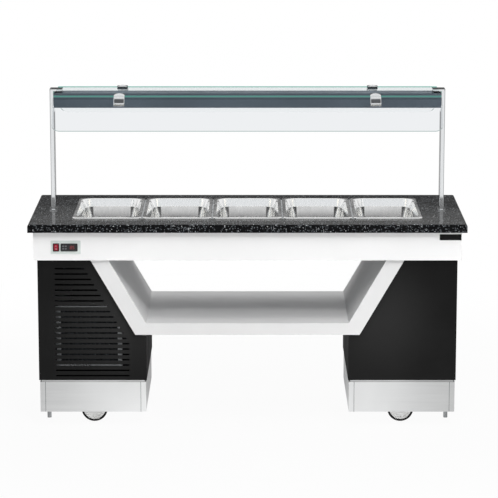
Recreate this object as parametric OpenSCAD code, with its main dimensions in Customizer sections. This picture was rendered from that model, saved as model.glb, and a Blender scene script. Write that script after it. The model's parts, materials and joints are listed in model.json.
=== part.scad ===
// Free-standing steam table island: a stone counter with five lift-out pans over a water bath,
// a glass guard on two posts, and two wheeled pedestals joined by an open centre frame.
// Origin on the ground under the middle of the unit, +Z up, the front faces -Y. Millimetres.

/* [Counter] */
// Width of the stone slab
slab_w = 2060; // [2000:10:2200]
// Depth of the stone slab
slab_d = 800; // [795:1:860]
// Thickness of the slab
slab_t = 40; // [30:1:50]
// Rounding of the slab's upper edge
slab_edge_r = 12; // [4:1:20]
// Height of the slab's top above the ground
counter_h = 993; // [940:1:1040]
// Overhang of the slab past the fascia at each end
end_overhang = 24; // [10:1:40]
// Overhang of the slab past the fascia at front and rear
front_overhang = 28; // [20:1:38]
// Height of the fascia
fascia_h = 137; // [130:1:150]
// Thickness of the fascia and floor tray sheet
fascia_t = 2; // [1:0.5:3]
// Width of the fascia's upper flange
fascia_flange = 20; // [12:1:30]
// Height of the floor tray's turned-up rim
tray_rim = 15; // [8:1:30]

/* [Pans] */
// Outer width of a pan's rim
pan_w = 325; // [318:1:329]
// Outer length of a pan's rim
pan_l = 530; // [500:1:540]
// Depth of a pan from its rim
pan_depth = 100; // [65:1:105]
// Distance between neighbouring pans
pan_pitch = 333; // [330:1:340]
// Sheet thickness of a pan
pan_wall = 1; // [0.8:0.1:1.5]
// Width of a pan's flat rim
pan_flange = 14; // [12:1:18]
// Height of the rim's turned-down lip
pan_lip_h = 7; // [4:1:10]
// Corner radius of the rim
rim_corner_r = 8; // [4:1:12]
// Inner corner radius of a pan
pan_corner_r = 52; // [45:1:70]
// Depth of the stacking shoulder below the rim
shoulder_drop = 35; // [25:1:45]
// Width of the stacking shoulder
shoulder_step = 5; // [2:1:8]
// Inward lean of each stretch of the pan's wall
pan_draft = 2; // [1:0.5:4]
// Radius between a pan's wall and floor
pan_fillet = 16; // [8:1:22]
// Overlap of the rims on the slab and the bars
pan_seat = 10; // [6:1:11]

/* [Water bath] */
// Corner radius of the slab's cut-out and the tank
cutout_r = 14; // [8:1:25]
// Sheet thickness of the tank
tank_t = 1.5; // [1:0.1:2.5]
// Width of the tank's flange under the slab
tank_flange = 15; // [10:1:30]
// Gap between the tank and the floor tray
tank_gap = 10; // [5:1:15]
// Thickness of the bars between the pans
bar_t = 6; // [4:1:10]
// Thickness of the bars' legs
bar_leg_t = 2; // [1:0.5:3]
// Reach of the bars' legs below the slab
bar_leg_reach = 25; // [15:1:40]
// Diameter of the heating element
element_d = 10; // [8:1:12]
// Distance between the two runs of the heating element
element_gap = 240; // [160:5:300]
// Height of the heating element above the tank's floor
element_lift = 22; // [15:1:28]
// Diameter of the temperature probe
probe_d = 6; // [4:1:8]
// Length of the probe inside the tank
probe_reach = 120; // [60:5:200]
// Distance of the probe from the tank's centre line
probe_y = 200; // [170:5:220]

/* [Drain] */
// Outer diameter of the drain pipe
drain_d = 26.4; // [21:0.1:27]
// Wall thickness of the drain pipe
drain_wall = 3.2; // [2:0.1:4]
// Distance of the drain from the tank's right end
drain_inset = 38; // [30:1:50]
// Distance of the drain behind the centre line
drain_y = 200; // [150:5:220]
// Height of the tap below the fascia
drain_drop = 176; // [100:1:250]
// Radius of the pipe's bend
drain_bend = 32; // [28:1:60]
// How much slimmer the outlet is than the pipe, on its radius
outlet_step = 1.2; // [0.5:0.1:1.5]
// Diameter of the tap's body
tap_d = 40; // [36:1:44]
// Diameter of the tap's turning plug
plug_d = 24; // [20:1:28]
// Length of the tap's lever
lever_l = 85; // [60:1:110]

/* [Pedestals] */
// Width of each pedestal
pedestal_w = 512; // [490:1:540]
// Depth of the pedestals
pedestal_d = 674; // [640:2:690]
// Distance of the pedestals from the fascia's ends
pedestal_inset = 15; // [5:1:30]
// Sheet thickness of the pedestal shells
shell_t = 1.5; // [1:0.1:2.5]
// Width of the shells' edge flanges
shell_flange = 18; // [10:1:30]
// Thickness of the front and rear panels
panel_t = 2; // [1:0.5:3]
// Height of the plinths
plinth_h = 156; // [130:1:170]
// Clear height under the plinths
plinth_clear = 71; // [60:1:80]
// Recess of the plinths behind the panels
plinth_recess = 4; // [2:1:10]
// Sheet thickness of the plinths
plinth_t = 2; // [1:0.5:3]
// Height of the shadow gap between the panels and the plinths
plinth_gap_h = 9; // [5:1:14]
// Depth of the shadow gap
plinth_gap_d = 6; // [4:1:10]
// Thickness of the base plates that carry the casters
base_t = 3; // [2:0.5:5]

/* [Louvres] */
// Height of a louvre slot
slot_h = 8; // [5:1:12]
// Distance between louvre slots
slot_pitch = 26; // [20:1:35]
// Distance of the first slot below the fascia
slot_top = 47; // [30:1:70]
// Least distance of the last slot from the panel's lower edge
slot_foot = 20; // [15:1:40]
// Distance of the slots from the panel's outer edge
slot_side = 80; // [72:1:110]
// Distance of the slots from the panel's sloping edge
slot_slope_gap = 55; // [40:1:80]
// Distance of the slots from the panel's inner edge
slot_inner = 81; // [60:1:110]

/* [Centre frame] */
// Depth of the shelf and its cheeks
frame_d = 714; // [690:2:730]
// Height of the shelf's underside above the ground
shelf_z = 453; // [420:1:500]
// Thickness of the shelf
shelf_t = 56; // [40:1:80]
// Lean of the cheeks from upright, in degrees
cheek_slope = 30; // [26:1:33]
// Thickness of the cheeks
cheek_t = 73; // [50:1:90]
// Distance of the cheeks' lower corner from the pedestal's inner edge
cheek_foot = 52; // [30:1:60]
// Sheet thickness of the shelf and cheeks
frame_t = 2; // [1:0.5:3]

/* [Guard] */
// Height of the guard above the counter
guard_h = 587; // [500:1:650]
// Width of a post
post_w = 20; // [16:1:30]
// Depth of a post
post_d = 70; // [50:1:80]
// Wall thickness of a post
post_t = 2; // [1.5:0.5:4]
// Distance of a post's middle from the slab's end
post_inset = 95.5; // [80:0.5:110]
// Width of a post's foot flange
flange_w = 40; // [34:1:60]
// Depth of a post's foot flange
flange_d = 90; // [84:1:120]
// Thickness of a post's foot flange
flange_t = 5; // [3:1:8]
// Diameter of the studs that hold a post
stud_d = 10; // [8:1:12]
// Thickness of the brackets on the posts
bracket_t = 8; // [4:1:10]
// Reach of the brackets over the glass
bracket_reach = 40; // [25:1:60]
// Thickness of the pads under the brackets
pad_t = 4; // [2:1:8]
// Thickness of the shelf glass
glass_t = 8; // [6:1:12]
// Depth of the shelf glass
glass_d = 330; // [300:2:400]
// Gap between the shelf glass and each post
glass_gap = 7; // [3:1:12]
// Corner radius of the shelf glass
glass_corner_r = 8; // [4:1:15]
// Depth of the light canopy
canopy_d = 100; // [80:2:140]
// Height of the light canopy
canopy_h = 67; // [50:1:90]
// Wall thickness of the light canopy
canopy_t = 2; // [1.5:0.5:3]
// Width of the canopy's lips under the diffuser
canopy_lip = 6; // [4:1:10]
// Thickness of the diffuser
diffuser_t = 3; // [2:1:5]

/* [Glass flaps] */
// Length of a flap's glass down its slope
flap_l = 190; // [150:1:220]
// Thickness of a flap's glass
flap_t = 6; // [5:1:8]
// Slope of the resting flaps below level, in degrees
flap_slope = 45; // [30:1:60]
// Radius of the flaps' lower corners
flap_corner_r = 40; // [20:1:60]
// Distance of the hinges from the middle of the unit
hinge_x = 605; // [450:5:750]
// Width of a hinge
hinge_w = 50; // [40:1:70]
// Length of a hinge plate on the glass
hinge_plate_l = 38; // [25:1:50]
// Thickness of a hinge plate
hinge_plate_t = 4; // [3:0.5:5]
// Diameter of a hinge barrel
barrel_d = 12; // [10:1:14]
// Diameter of a hinge pin
pin_d = 6; // [4:0.5:7]

/* [Casters and feet] */
// Diameter of a caster wheel
wheel_d = 125; // [110:1:130]
// Width of a caster wheel across its hub
wheel_w = 35; // [32:1:40]
// Thickness of the tyre
tyre_t = 10; // [6:1:14]
// Offset of the wheel behind its swivel
trail = 32; // [26:1:34]
// Diameter of an axle
axle_d = 10; // [8:1:12]
// Distance of the swivels from the plinth's front and rear
caster_inset = 106; // [105:1:130]
// Width of a caster's top plate
caster_plate_w = 105; // [90:1:120]
// Depth of a caster's top plate
caster_plate_d = 85; // [75:1:100]
// Thickness of a caster's top plate
caster_plate_t = 4; // [3:0.5:6]
// Diameter of the bolts through a caster's top plate
bolt_d = 8; // [6:1:10]
// Diameter of a levelling foot
foot_d = 20; // [16:1:28]
// Diameter of a levelling foot's stud
foot_stud_d = 12; // [8:1:14]
// Gap between a raised foot and the ground
foot_lift = 30; // [20:1:40]
// Distance of a foot from the pedestal's outer side
foot_side = 42; // [30:1:60]
// Distance of a foot from the pedestal's front or rear
foot_inset = 57; // [40:1:70]

/* [Controls] */
// Width of the control plate
plate_w = 141; // [138:1:170]
// Height of the control plate
plate_h = 64; // [50:1:75]
// Thickness of the control plate
plate_t = 2; // [1:0.5:3]
// Distance of the control plate from the fascia's left end
plate_side = 82; // [60:1:120]
// Distance of the control plate below the slab
plate_drop = 42; // [25:1:50]
// Width of the switch rocker
rocker_w = 21; // [16:1:22]
// Height of the switch rocker
rocker_h = 29; // [24:1:30]
// Tilt of the rocker at each end of its travel, in degrees
rocker_tilt = 8; // [5:1:10]
// Distance of the switch from the plate's left edge
switch_x = 26; // [22:1:30]
// Width of the controller's bezel
controller_w = 80; // [74:1:84]
// Height of the controller's bezel
controller_h = 37; // [32:1:42]
// Depth of the controller's body behind the plate
controller_depth = 55; // [40:1:65]
// Distance of the controller's middle from the plate's left edge
controller_x = 87; // [85:1:92]
// Width of the bare plate at the fascia's right end
badge_w = 102; // [60:1:120]
// Height of the bare plate
badge_h = 28; // [20:1:40]

/* [Vent and electrics] */
// Distance of the vent frame behind the louvred panel
vent_back = 75; // [50:1:110]
// Height of the vent frame
vent_h = 306; // [260:1:320]
// Height of the vent frame above the pedestal's floor
vent_leg = 37; // [20:1:60]
// Width and thickness of the vent frame's bars
vent_bar = 20; // [14:1:26]
// Thickness of the filter pad in the vent frame
filter_t = 8; // [4:1:10]
// Gap between the vent frame and the sloping cheek
vent_clear = 6; // [3:1:15]
// Depth of the fan housing
fan_d = 50; // [40:1:70]
// Width of the electrical box
box_w = 120; // [80:1:140]
// Depth of the electrical box
box_d = 200; // [150:5:220]
// Height of the electrical box
box_h = 260; // [150:5:300]
// Bore of the cable gland
gland_bore = 10; // [7:0.5:12]

/* [Hidden] */
$fn = 64;
// Play of a turning or sliding pin in its bore
run_gap = 0.05;
// Play of a fixed piece in its hole, and of flat faces that pass each other
slip = 0.2;
side_gap = 0.3;
pan_count = 5;
stone = "#262626";
white_coat = "#ececec";
black_coat = "#242424";
steel = "#c9ccce";
bright = "#dcdfe2";
dark = "#1b1b1b";
slate = "#525a63";
clear_glass = [0.75, 0.88, 0.85, 0.45];

fascia_w = slab_w - 2 * end_overhang;
fascia_d = slab_d - 2 * front_overhang;
fascia_y = -fascia_d / 2;
slab_z0 = counter_h - slab_t;
fascia_z0 = slab_z0 - fascia_h;

pan_row_half = ((pan_count - 1) * pan_pitch + pan_w) / 2;
cutout_w = 2 * (pan_row_half - pan_seat);
cutout_d = pan_l - 2 * pan_seat;
tank_z0 = fascia_z0 + fascia_t + tank_gap;
tank_floor = tank_z0 + tank_t;
bar_w = pan_pitch - pan_w + 2 * pan_seat;

rim_z1 = counter_h + pan_lip_h;
pan_z0 = rim_z1 - pan_depth;
pan_half_w = pan_w / 2 - pan_flange;
pan_half_l = pan_l / 2 - pan_flange;
shoulder_z = rim_z1 - shoulder_drop;
pan_floor_x = -2 * pan_draft - shoulder_step - pan_fillet;
pan_floor_z = pan_z0 + pan_wall + pan_fillet;
fillet_steps = 5;

ped_x1 = fascia_w / 2 - pedestal_inset;
ped_x0 = ped_x1 - pedestal_w;
ped_y = pedestal_d / 2;
plinth_z1 = plinth_clear + plinth_h;
plinth_y = ped_y - plinth_recess;
plinth_flange = 20;

shelf_z1 = shelf_z + shelf_t;
cheek_shift = cheek_t / cos(cheek_slope);
sheet_shift = frame_t / cos(cheek_slope);

slot_rows = floor((fascia_z0 - plinth_z1 - slot_top - slot_foot) / slot_pitch) + 1;

post_x = slab_w / 2 - min(post_inset, (slab_w / 2 - pan_row_half) / 2);
post_stud_y = post_d / 2 - stud_d / 2;
stud_reach = 14;
nut_d = 1.9 * stud_d;
nut_t = 0.8 * stud_d;
guard_z1 = counter_h + guard_h;
bracket_z0 = guard_z1 - bracket_t;
glass_z1 = bracket_z0 - pad_t;
glass_z0 = glass_z1 - glass_t;
glass_half_w = post_x - post_w / 2 - glass_gap;
canopy_half_w = post_x - post_w / 2;
canopy_z0 = glass_z0 - canopy_h;

hinge_wall = 3;
hinge_edge_y = -glass_d / 2 - side_gap - hinge_wall;
hinge_y = hinge_edge_y - barrel_d / 2 - 1;
hinge_z = glass_z0 + glass_t / 2;
knuckle_w = hinge_w / 2 - side_gap;
leaf_start = barrel_d / 2 + 2;
flap_start = leaf_start + hinge_wall + 1;

wheel_r = wheel_d / 2;
crown_gap = 7;
crown_t = 6;
race_h = 8;
race_d = 48;
crown_z0 = wheel_d + crown_gap;
crown_z1 = crown_z0 + crown_t;
race_z0 = crown_z1 + side_gap;
caster_plate_z0 = race_z0 + race_h;
base_z0 = caster_plate_z0 + caster_plate_t;
base_z1 = base_z0 + base_t;
kingpin_d = 12;
kingpin_head_d = 20;
kingpin_head_t = 5;
fork_t = 3;
fork_y0 = wheel_w / 2 + 0.5;
fork_y1 = fork_y0 + fork_t;
axle_boss_wall = 6;
axle_boss_r = axle_d / 2 + axle_boss_wall;
caster_x = (ped_x0 + ped_x1) / 2 + trail;
caster_y = plinth_y - caster_inset;
bolt_edge = 12;
bolt_x = caster_plate_w / 2 - bolt_edge;
bolt_y = caster_plate_d / 2 - bolt_edge;
foot_x = ped_x1 - foot_side;
foot_y = ped_y - foot_inset;
foot_boss_wall = 7;
foot_boss_d = foot_stud_d + 2 * foot_boss_wall;
foot_boss_h = 30;
foot_sleeve_h = 42;
foot_stud_top = 25;

plate_x0 = -fascia_w / 2 + plate_side;
plate_z = slab_z0 - plate_drop - plate_h / 2;
plate_y = fascia_y - plate_t;
switch_wall = 1.5;
switch_lip = 2;
rocker_room = 1;
switch_body_w = rocker_w + 2 * (rocker_room + switch_wall);
switch_body_h = rocker_h + 2 * (rocker_room + switch_wall);
switch_depth = 22;
switch_bezel_t = 3;
rocker_crown = 3.5;
rocker_back = 5;
rocker_pin_d = 3;
controller_lip = 4;
controller_bezel_t = 4;

badge_side = 2;
badge_drop = 12;
badge_t = 1.5;

vent_z0 = plinth_z1 + shell_t + vent_leg;
vent_z1 = vent_z0 + vent_h;
vent_y0 = -ped_y + vent_back;
vent_y1 = vent_y0 + vent_bar;
filter_set = 2;
filter_y0 = vent_y1 - filter_t - filter_set;
function cheek_outer(z) = ped_x0 + cheek_foot + (z - shelf_z) * tan(cheek_slope);
function cheek_inner(z) = cheek_outer(z) - cheek_shift;
vent_cut_h = 11;
vent_x0 = cheek_outer(vent_z1 - vent_cut_h) + vent_clear;
vent_x1 = ped_x1 - slot_side;
vent_w = vent_x1 - vent_x0;
fan_x = (vent_x0 + vent_x1) / 2;
fan_z = (vent_z0 + vent_z1) / 2;
fan_size = min(vent_w, vent_h) - vent_bar;
fan_rim = 12;
fan_bore_r = fan_size / 2 - fan_rim;
fan_y1 = vent_y1 + fan_d;
fan_hub_r = 38;
fan_hub_l = 20;
fan_motor_r = 36;
fan_motor_l = 22;
fan_shaft_d = 8;
fan_tip_gap = 4;
fan_blades = 5;
fan_blade_t = 2.5;
fan_blade_w = 22;
fan_pitch = 35;

wall_nut_ratio = 2.2;
rod_tail = 25;
element_end = 40;
stand_t = 4;

drain_r = drain_d / 2;
drain_x = cutout_w / 2 - drain_inset;
drain_z = fascia_z0 - drain_drop;
locknut_lip = 6;
locknut_r = drain_r + locknut_lip;
locknut_t = 5;
drain_collar_t = 2;
tap_gap = 4;
tap_y = ped_y + locknut_t + tap_d / 2 + tap_gap;
tap_h = 40;
tap_floor = 4;
outlet_collar = 3;
outlet_l = 12;
plug_rise = 8;
lever_w = 14;
lever_t = 4;

gland_x = ped_x1 - slot_side / 2;
gland_lift = 60;
gland_z = plinth_z1 + gland_lift;
gland_wall = 3.5;
gland_r = gland_bore / 2 + gland_wall;
gland_nut_lip = 4;
gland_nut_r = gland_r + gland_nut_lip;
gland_nut_t = 6;
gland_dome_l = 12;
box_y0 = 40;
box_lift = 75;
box_z0 = plinth_z1 + box_lift;
box_t = 2;
wire_hole_r = 25;

// Shared shapes

// Draws its children on the right for 1 and mirrored to the left for -1
module side(s) {
    if (s < 0) mirror([1, 0, 0]) children();
    else children();
}

// Draws its children at the front for -1 and mirrored to the rear for 1
module front_or_rear(s) {
    if (s > 0) mirror([0, 1, 0]) children();
    else children();
}

// A box between two corners
module block(low, high) {
    translate(low) cube(high - low);
}

// Extrudes an X-Z outline from y0 to y1
module along_y(y0, y1) {
    translate([0, y1, 0]) rotate([90, 0, 0]) linear_extrude(y1 - y0) children();
}

// Extrudes a Y-Z outline from x0 to x1
module along_x(x0, x1) {
    translate([x0, 0, 0]) rotate([90, 0, 90]) linear_extrude(x1 - x0) children();
}

// A round bar along X or Y through a point
module x_bar(r, x0, x1) {
    translate([x0, 0, 0]) rotate([0, 90, 0]) cylinder(h = x1 - x0, r = r);
}

module y_bar(r, y0, y1) {
    translate([0, y1, 0]) rotate([90, 0, 0]) cylinder(h = y1 - y0, r = r);
}

// A rectangle with round corners, centred
module rounded(w, d, r) {
    square([w - 2 * r, d], center = true);
    square([w, d - 2 * r], center = true);
    for (x = [-1, 1], y = [-1, 1])
        translate([x * (w / 2 - r), y * (d / 2 - r)]) circle(r);
}

function arc(x, z, r, a0, a1, n) =
    [for (k = [0:n]) let (a = a0 + (a1 - a0) * k / n) [x + r * cos(a), z + r * sin(a)]];

// Stone slab

// Slab outline across one direction, with its upper corners rounded
module slab_outline(w) {
    translate([-w / 2, slab_z0]) square([w, slab_t - slab_edge_r]);
    translate([-w / 2 + slab_edge_r, slab_z0]) square([w - 2 * slab_edge_r, slab_t]);
    for (x = [-1, 1])
        translate([x * (w / 2 - slab_edge_r), counter_h - slab_edge_r]) circle(slab_edge_r);
}

module granite_top() {
    color(stone) difference() {
        intersection() {
            along_x(-slab_w / 2, slab_w / 2) slab_outline(slab_d);
            along_y(-slab_d / 2, slab_d / 2) slab_outline(slab_w);
        }
        translate([0, 0, slab_z0 - 1]) linear_extrude(slab_t + 2)
            rounded(cutout_w, cutout_d, cutout_r);
        for (x = [-1, 1], y = [-1, 1])
            translate([x * post_x, y * post_stud_y, slab_z0 - 1])
                cylinder(h = slab_t + 2, d = stud_d + 2 * slip);
    }
}

// Counter box

// One fascia sheet with its upper flange, in a Y-Z outline that faces -Y
module fascia_outline(y) {
    translate([y, fascia_z0]) square([fascia_t, fascia_h]);
    translate([y, slab_z0 - fascia_t]) square([fascia_flange, fascia_t]);
}

module switch_cutout(y0, y1) {
    translate([plate_x0 + switch_x, 0, plate_z])
        block([-switch_body_w / 2 - slip, y0, -switch_body_h / 2 - slip],
              [switch_body_w / 2 + slip, y1, switch_body_h / 2 + slip]);
}

module controller_cutout(y0, y1) {
    w = controller_w / 2 - controller_lip + slip;
    h = controller_h / 2 - controller_lip + slip;
    translate([plate_x0 + controller_x, 0, plate_z]) block([-w, y0, -h], [w, y1, h]);
}

module fascia_skirt() {
    color(white_coat) {
        difference() {
            along_x(-fascia_w / 2, fascia_w / 2) fascia_outline(fascia_y);
            switch_cutout(fascia_y - 1, fascia_y + fascia_t + 1);
            controller_cutout(fascia_y - 1, fascia_y + fascia_t + 1);
        }
        mirror([0, 1, 0]) along_x(-fascia_w / 2, fascia_w / 2) fascia_outline(fascia_y);
        for (s = [-1, 1]) side(s) {
            block([fascia_w / 2 - fascia_t, fascia_y + fascia_t, fascia_z0],
                  [fascia_w / 2, -fascia_y - fascia_t, slab_z0]);
            block([fascia_w / 2 - fascia_flange, fascia_y + fascia_flange, slab_z0 - fascia_t],
                  [fascia_w / 2 - fascia_t, -fascia_y - fascia_flange, slab_z0]);
        }
    }
}

module counter_floor() {
    x = fascia_w / 2 - fascia_t;
    y = fascia_d / 2 - fascia_t;
    color(steel) difference() {
        block([-x, -y, fascia_z0], [x, y, fascia_z0 + tray_rim]);
        block([-x + fascia_t, -y + fascia_t, fascia_z0 + fascia_t],
              [x - fascia_t, y - fascia_t, fascia_z0 + tray_rim + 1]);
        translate([drain_x, drain_y, fascia_z0 - 1]) cylinder(h = fascia_t + 2, r = drain_r + 1);
        translate([-ped_x1 + slot_side, 0, fascia_z0 - 1])
            cylinder(h = fascia_t + 2, r = wire_hole_r);
    }
}

// Water bath

module well_tank() {
    w = cutout_w + 2 * tank_t;
    d = cutout_d + 2 * tank_t;
    r = cutout_r + tank_t;
    color(steel) difference() {
        union() {
            translate([0, 0, tank_z0]) linear_extrude(slab_z0 - tank_z0) rounded(w, d, r);
            translate([0, 0, slab_z0 - tank_t]) linear_extrude(tank_t)
                rounded(w + 2 * tank_flange, d + 2 * tank_flange, r + tank_flange);
        }
        translate([0, 0, tank_floor]) linear_extrude(slab_z0 - tank_floor + 1)
            rounded(cutout_w, cutout_d, cutout_r);
        translate([drain_x, drain_y, tank_z0 - 1]) cylinder(h = tank_t + 2, r = drain_r + slip);
        for (y = [-1, 1])
            translate([-cutout_w / 2, y * element_gap / 2, tank_floor + element_lift])
                x_bar(element_d / 2 + slip, -tank_t - 1, 1);
        translate([-cutout_w / 2, probe_y, tank_floor + element_lift])
            x_bar(probe_d / 2 + slip, -tank_t - 1, 1);
    }
}

module pan_bars() {
    y = cutout_d / 2;
    z0 = slab_z0 - bar_leg_reach;
    color(steel)
    for (k = [0:pan_count - 2])
        translate([(k - (pan_count - 2) / 2) * pan_pitch, 0, 0])
            along_x(-bar_w / 2, bar_w / 2) difference() {
                translate([-y, z0]) square([2 * y, counter_h - z0]);
                translate([-y + bar_leg_t, z0 - 1])
                    square([2 * (y - bar_leg_t), counter_h - bar_t - z0 + 1]);
            }
}

// Nuts on both sides of the tank's left wall, for a rod of this radius
module wall_nuts(rod_r) {
    r = rod_r * wall_nut_ratio;
    translate([-cutout_w / 2, 0, 0]) {
        x_bar(r, -tank_t - r * 0.7, -tank_t);
        x_bar(r, 0, r * 0.5);
    }
}

module heating_element() {
    z = tank_floor + element_lift;
    r = element_d / 2;
    x1 = cutout_w / 2 - element_gap / 2 - element_end;
    color(bright) {
        for (y = [-1, 1]) translate([0, y * element_gap / 2, z]) {
            x_bar(r, -cutout_w / 2 - tank_t - rod_tail, x1);
            wall_nuts(r);
            for (x = [-0.5, 0, 0.5])
                block([x * cutout_w / 2 - stand_t / 2, -r * 0.8, -element_lift],
                      [x * cutout_w / 2 + stand_t / 2, r * 0.8, 0]);
        }
        translate([x1, 0, z]) rotate([0, 0, -90])
            rotate_extrude(angle = 180) translate([element_gap / 2, 0]) circle(r);
    }
}

module temperature_probe() {
    r = probe_d / 2;
    color(bright) translate([0, probe_y, tank_floor + element_lift]) {
        x_bar(r, -cutout_w / 2 - tank_t - rod_tail, -cutout_w / 2 + probe_reach);
        wall_nuts(r);
    }
}

// Drain

module drain_valve() {
    outlet_y = tap_y + tap_d / 2 + outlet_l;
    bend_y = drain_y + drain_bend;
    bend_z = drain_z + drain_bend;
    color("#b8a05a") translate([drain_x, 0, 0]) difference() {
        union() {
            translate([0, drain_y, bend_z]) linear_extrude(tank_floor - bend_z) circle(drain_r);
            translate([0, drain_y, tank_floor]) cylinder(h = drain_collar_t, r = locknut_r);
            translate([0, bend_y, bend_z]) rotate([90, 0, 90]) rotate([0, 0, 180])
                rotate_extrude(angle = 90) translate([drain_bend, 0]) circle(drain_r);
            translate([0, 0, drain_z]) {
                y_bar(drain_r, bend_y, tap_y);
                y_bar(drain_r + outlet_collar, tap_y, tap_y + tap_d / 2);
                y_bar(drain_r - outlet_step, tap_y, outlet_y);
                y_bar(locknut_r, ped_y, ped_y + locknut_t);
                translate([0, tap_y, -tap_h / 2]) cylinder(h = tap_h, d = tap_d);
            }
        }
        translate([0, drain_y, bend_z])
            cylinder(h = tank_floor - bend_z + drain_collar_t + 1, r = drain_r - drain_wall);
        translate([0, bend_y, bend_z]) rotate([90, 0, 90]) rotate([0, 0, 180])
            rotate_extrude(angle = 90) translate([drain_bend, 0]) circle(drain_r - drain_wall);
        translate([0, 0, drain_z]) {
            y_bar(drain_r - drain_wall, bend_y, outlet_y + 1);
            translate([0, tap_y, -tap_h / 2 + tap_floor]) cylinder(h = tap_h, d = plug_d + 2 * run_gap);
        }
    }
}

module drain_lever() {
    z1 = tap_h / 2 + plug_rise;
    color("#a3122f") translate([drain_x, tap_y, drain_z]) difference() {
        union() {
            translate([0, 0, -tap_h / 2 + tap_floor]) cylinder(h = tap_h - tap_floor + plug_rise, d = plug_d);
            block([-lever_l, -lever_w / 2, z1 - lever_t], [0, lever_w / 2, z1]);
            translate([-lever_l, 0, z1 - lever_t]) cylinder(h = lever_t, d = lever_w);
        }
        x_bar(drain_r - drain_wall - 1, -plug_d, plug_d);
    }
}

// Pedestals

// Outline of a front or rear panel on the right pedestal
module panel_outline() {
    polygon([
        [ped_x0, plinth_z1], [ped_x1, plinth_z1], [ped_x1, fascia_z0],
        [cheek_outer(fascia_z0), fascia_z0], [cheek_outer(shelf_z), shelf_z], [ped_x0, shelf_z]
    ]);
}

// Louvre slots, each as long as the panel's sloping edge leaves room for
module louvre_slots() {
    x1 = ped_x1 - slot_side - slot_h / 2;
    for (k = [0:slot_rows - 1]) {
        z = fascia_z0 - slot_top - k * slot_pitch;
        x0 = max(ped_x0 + slot_inner, cheek_outer(z) + slot_slope_gap) + slot_h / 2;
        translate([x0, z - slot_h / 2]) square([x1 - x0, slot_h]);
        for (x = [x0, x1]) translate([x, z]) circle(d = slot_h);
    }
}

module louvre_panel_front() {
    color(black_coat) side(-1) along_y(-ped_y, -ped_y + panel_t) difference() {
        panel_outline();
        louvre_slots();
    }
}

module louvre_panel_rear() {
    color(black_coat) side(-1) along_y(ped_y - panel_t, ped_y) difference() {
        panel_outline();
        louvre_slots();
        translate([gland_x, gland_z]) circle(gland_r + slip);
    }
}

module plain_panels() {
    color(black_coat) {
        along_y(-ped_y, -ped_y + panel_t) panel_outline();
        along_y(ped_y - panel_t, ped_y) difference() {
            panel_outline();
            translate([drain_x, drain_z]) circle(drain_r + slip);
        }
    }
}

// Outer side, floor and inner side folded from one sheet, with flanges behind the panels
module pedestal_shells() {
    y = ped_y - panel_t;
    z0 = plinth_z1 + shell_t;
    color(black_coat) for (s = [-1, 1]) side(s) {
        along_y(-y, y) polygon([
            [ped_x0, plinth_z1], [ped_x1, plinth_z1], [ped_x1, fascia_z0],
            [ped_x1 - shell_t, fascia_z0], [ped_x1 - shell_t, z0], [ped_x0 + shell_t, z0],
            [ped_x0 + shell_t, shelf_z], [ped_x0, shelf_z]
        ]);
        for (f = [-1, 1]) front_or_rear(f) {
            block([ped_x1 - shell_t - shell_flange, -y, z0],
                  [ped_x1 - shell_t, -y + shell_t, fascia_z0]);
            block([ped_x0 + shell_t, -y, z0],
                  [ped_x0 + shell_t + shell_flange, -y + shell_t, shelf_z]);
        }
    }
}

// Outside of one plinth, drawn in by a step, with its narrower neck under the panels
module plinth_body(step, z0, neck_z0, z1) {
    low = [ped_x0 + plinth_recess + step, -plinth_y + step];
    high = [ped_x1 - plinth_recess - step, plinth_y - step];
    neck = plinth_gap_d;
    block([low.x, low.y, z0], [high.x, high.y, neck_z0]);
    block([low.x + neck, low.y + neck, z0], [high.x - neck, high.y - neck, z1]);
}

// Skirt, neck, upper flange and base plate of both plinths, with the nuts for the levelling feet
module plinths() {
    x0 = ped_x0 + plinth_recess;
    x1 = ped_x1 - plinth_recess;
    y = plinth_y;
    t = plinth_t;
    neck_z0 = plinth_z1 - plinth_gap_h;
    color(steel) for (s = [-1, 1]) side(s) difference() {
        union() {
            difference() {
                plinth_body(0, plinth_clear, neck_z0, plinth_z1);
                plinth_body(t, plinth_clear - 1, neck_z0 - t, plinth_z1 - t);
                block([x0 + plinth_flange, -y + plinth_flange, plinth_z1 - t - 1],
                      [x1 - plinth_flange, y - plinth_flange, plinth_z1 + 1]);
            }
            block([x0 + t, -y + t, base_z0], [x1 - t, y - t, base_z1]);
            for (f = [-1, 1]) translate([foot_x, f * foot_y, base_z0 - foot_boss_h])
                cylinder(h = foot_boss_h, d = foot_boss_d);
        }
        for (f = [-1, 1]) {
            translate([foot_x, f * foot_y, base_z0 - foot_boss_h - 1])
                cylinder(h = foot_boss_h + base_t + 2, d = foot_stud_d + 2 * run_gap);
            translate([caster_x, f * caster_y, base_z0 - 1])
                caster_bolt_places() cylinder(h = base_t + 2, d = bolt_d + 2 * slip);
        }
    }
}

// Centre frame

// Folded sheet box between the two cheeks, open at its mitred ends
module centre_shelf() {
    x0 = cheek_outer(shelf_z);
    x1 = cheek_inner(shelf_z1);
    y = frame_d / 2;
    t = frame_t;
    color(white_coat) intersection() {
        difference() {
            block([-x0, -y, shelf_z], [x0, y, shelf_z1]);
            block([-x0 - 1, -y + t, shelf_z + t], [x0 + 1, y - t, shelf_z1 - t]);
        }
        along_y(-y - 1, y + 1)
            polygon([[-x0, shelf_z], [x0, shelf_z], [x1, shelf_z1], [-x1, shelf_z1]]);
    }
}

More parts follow.
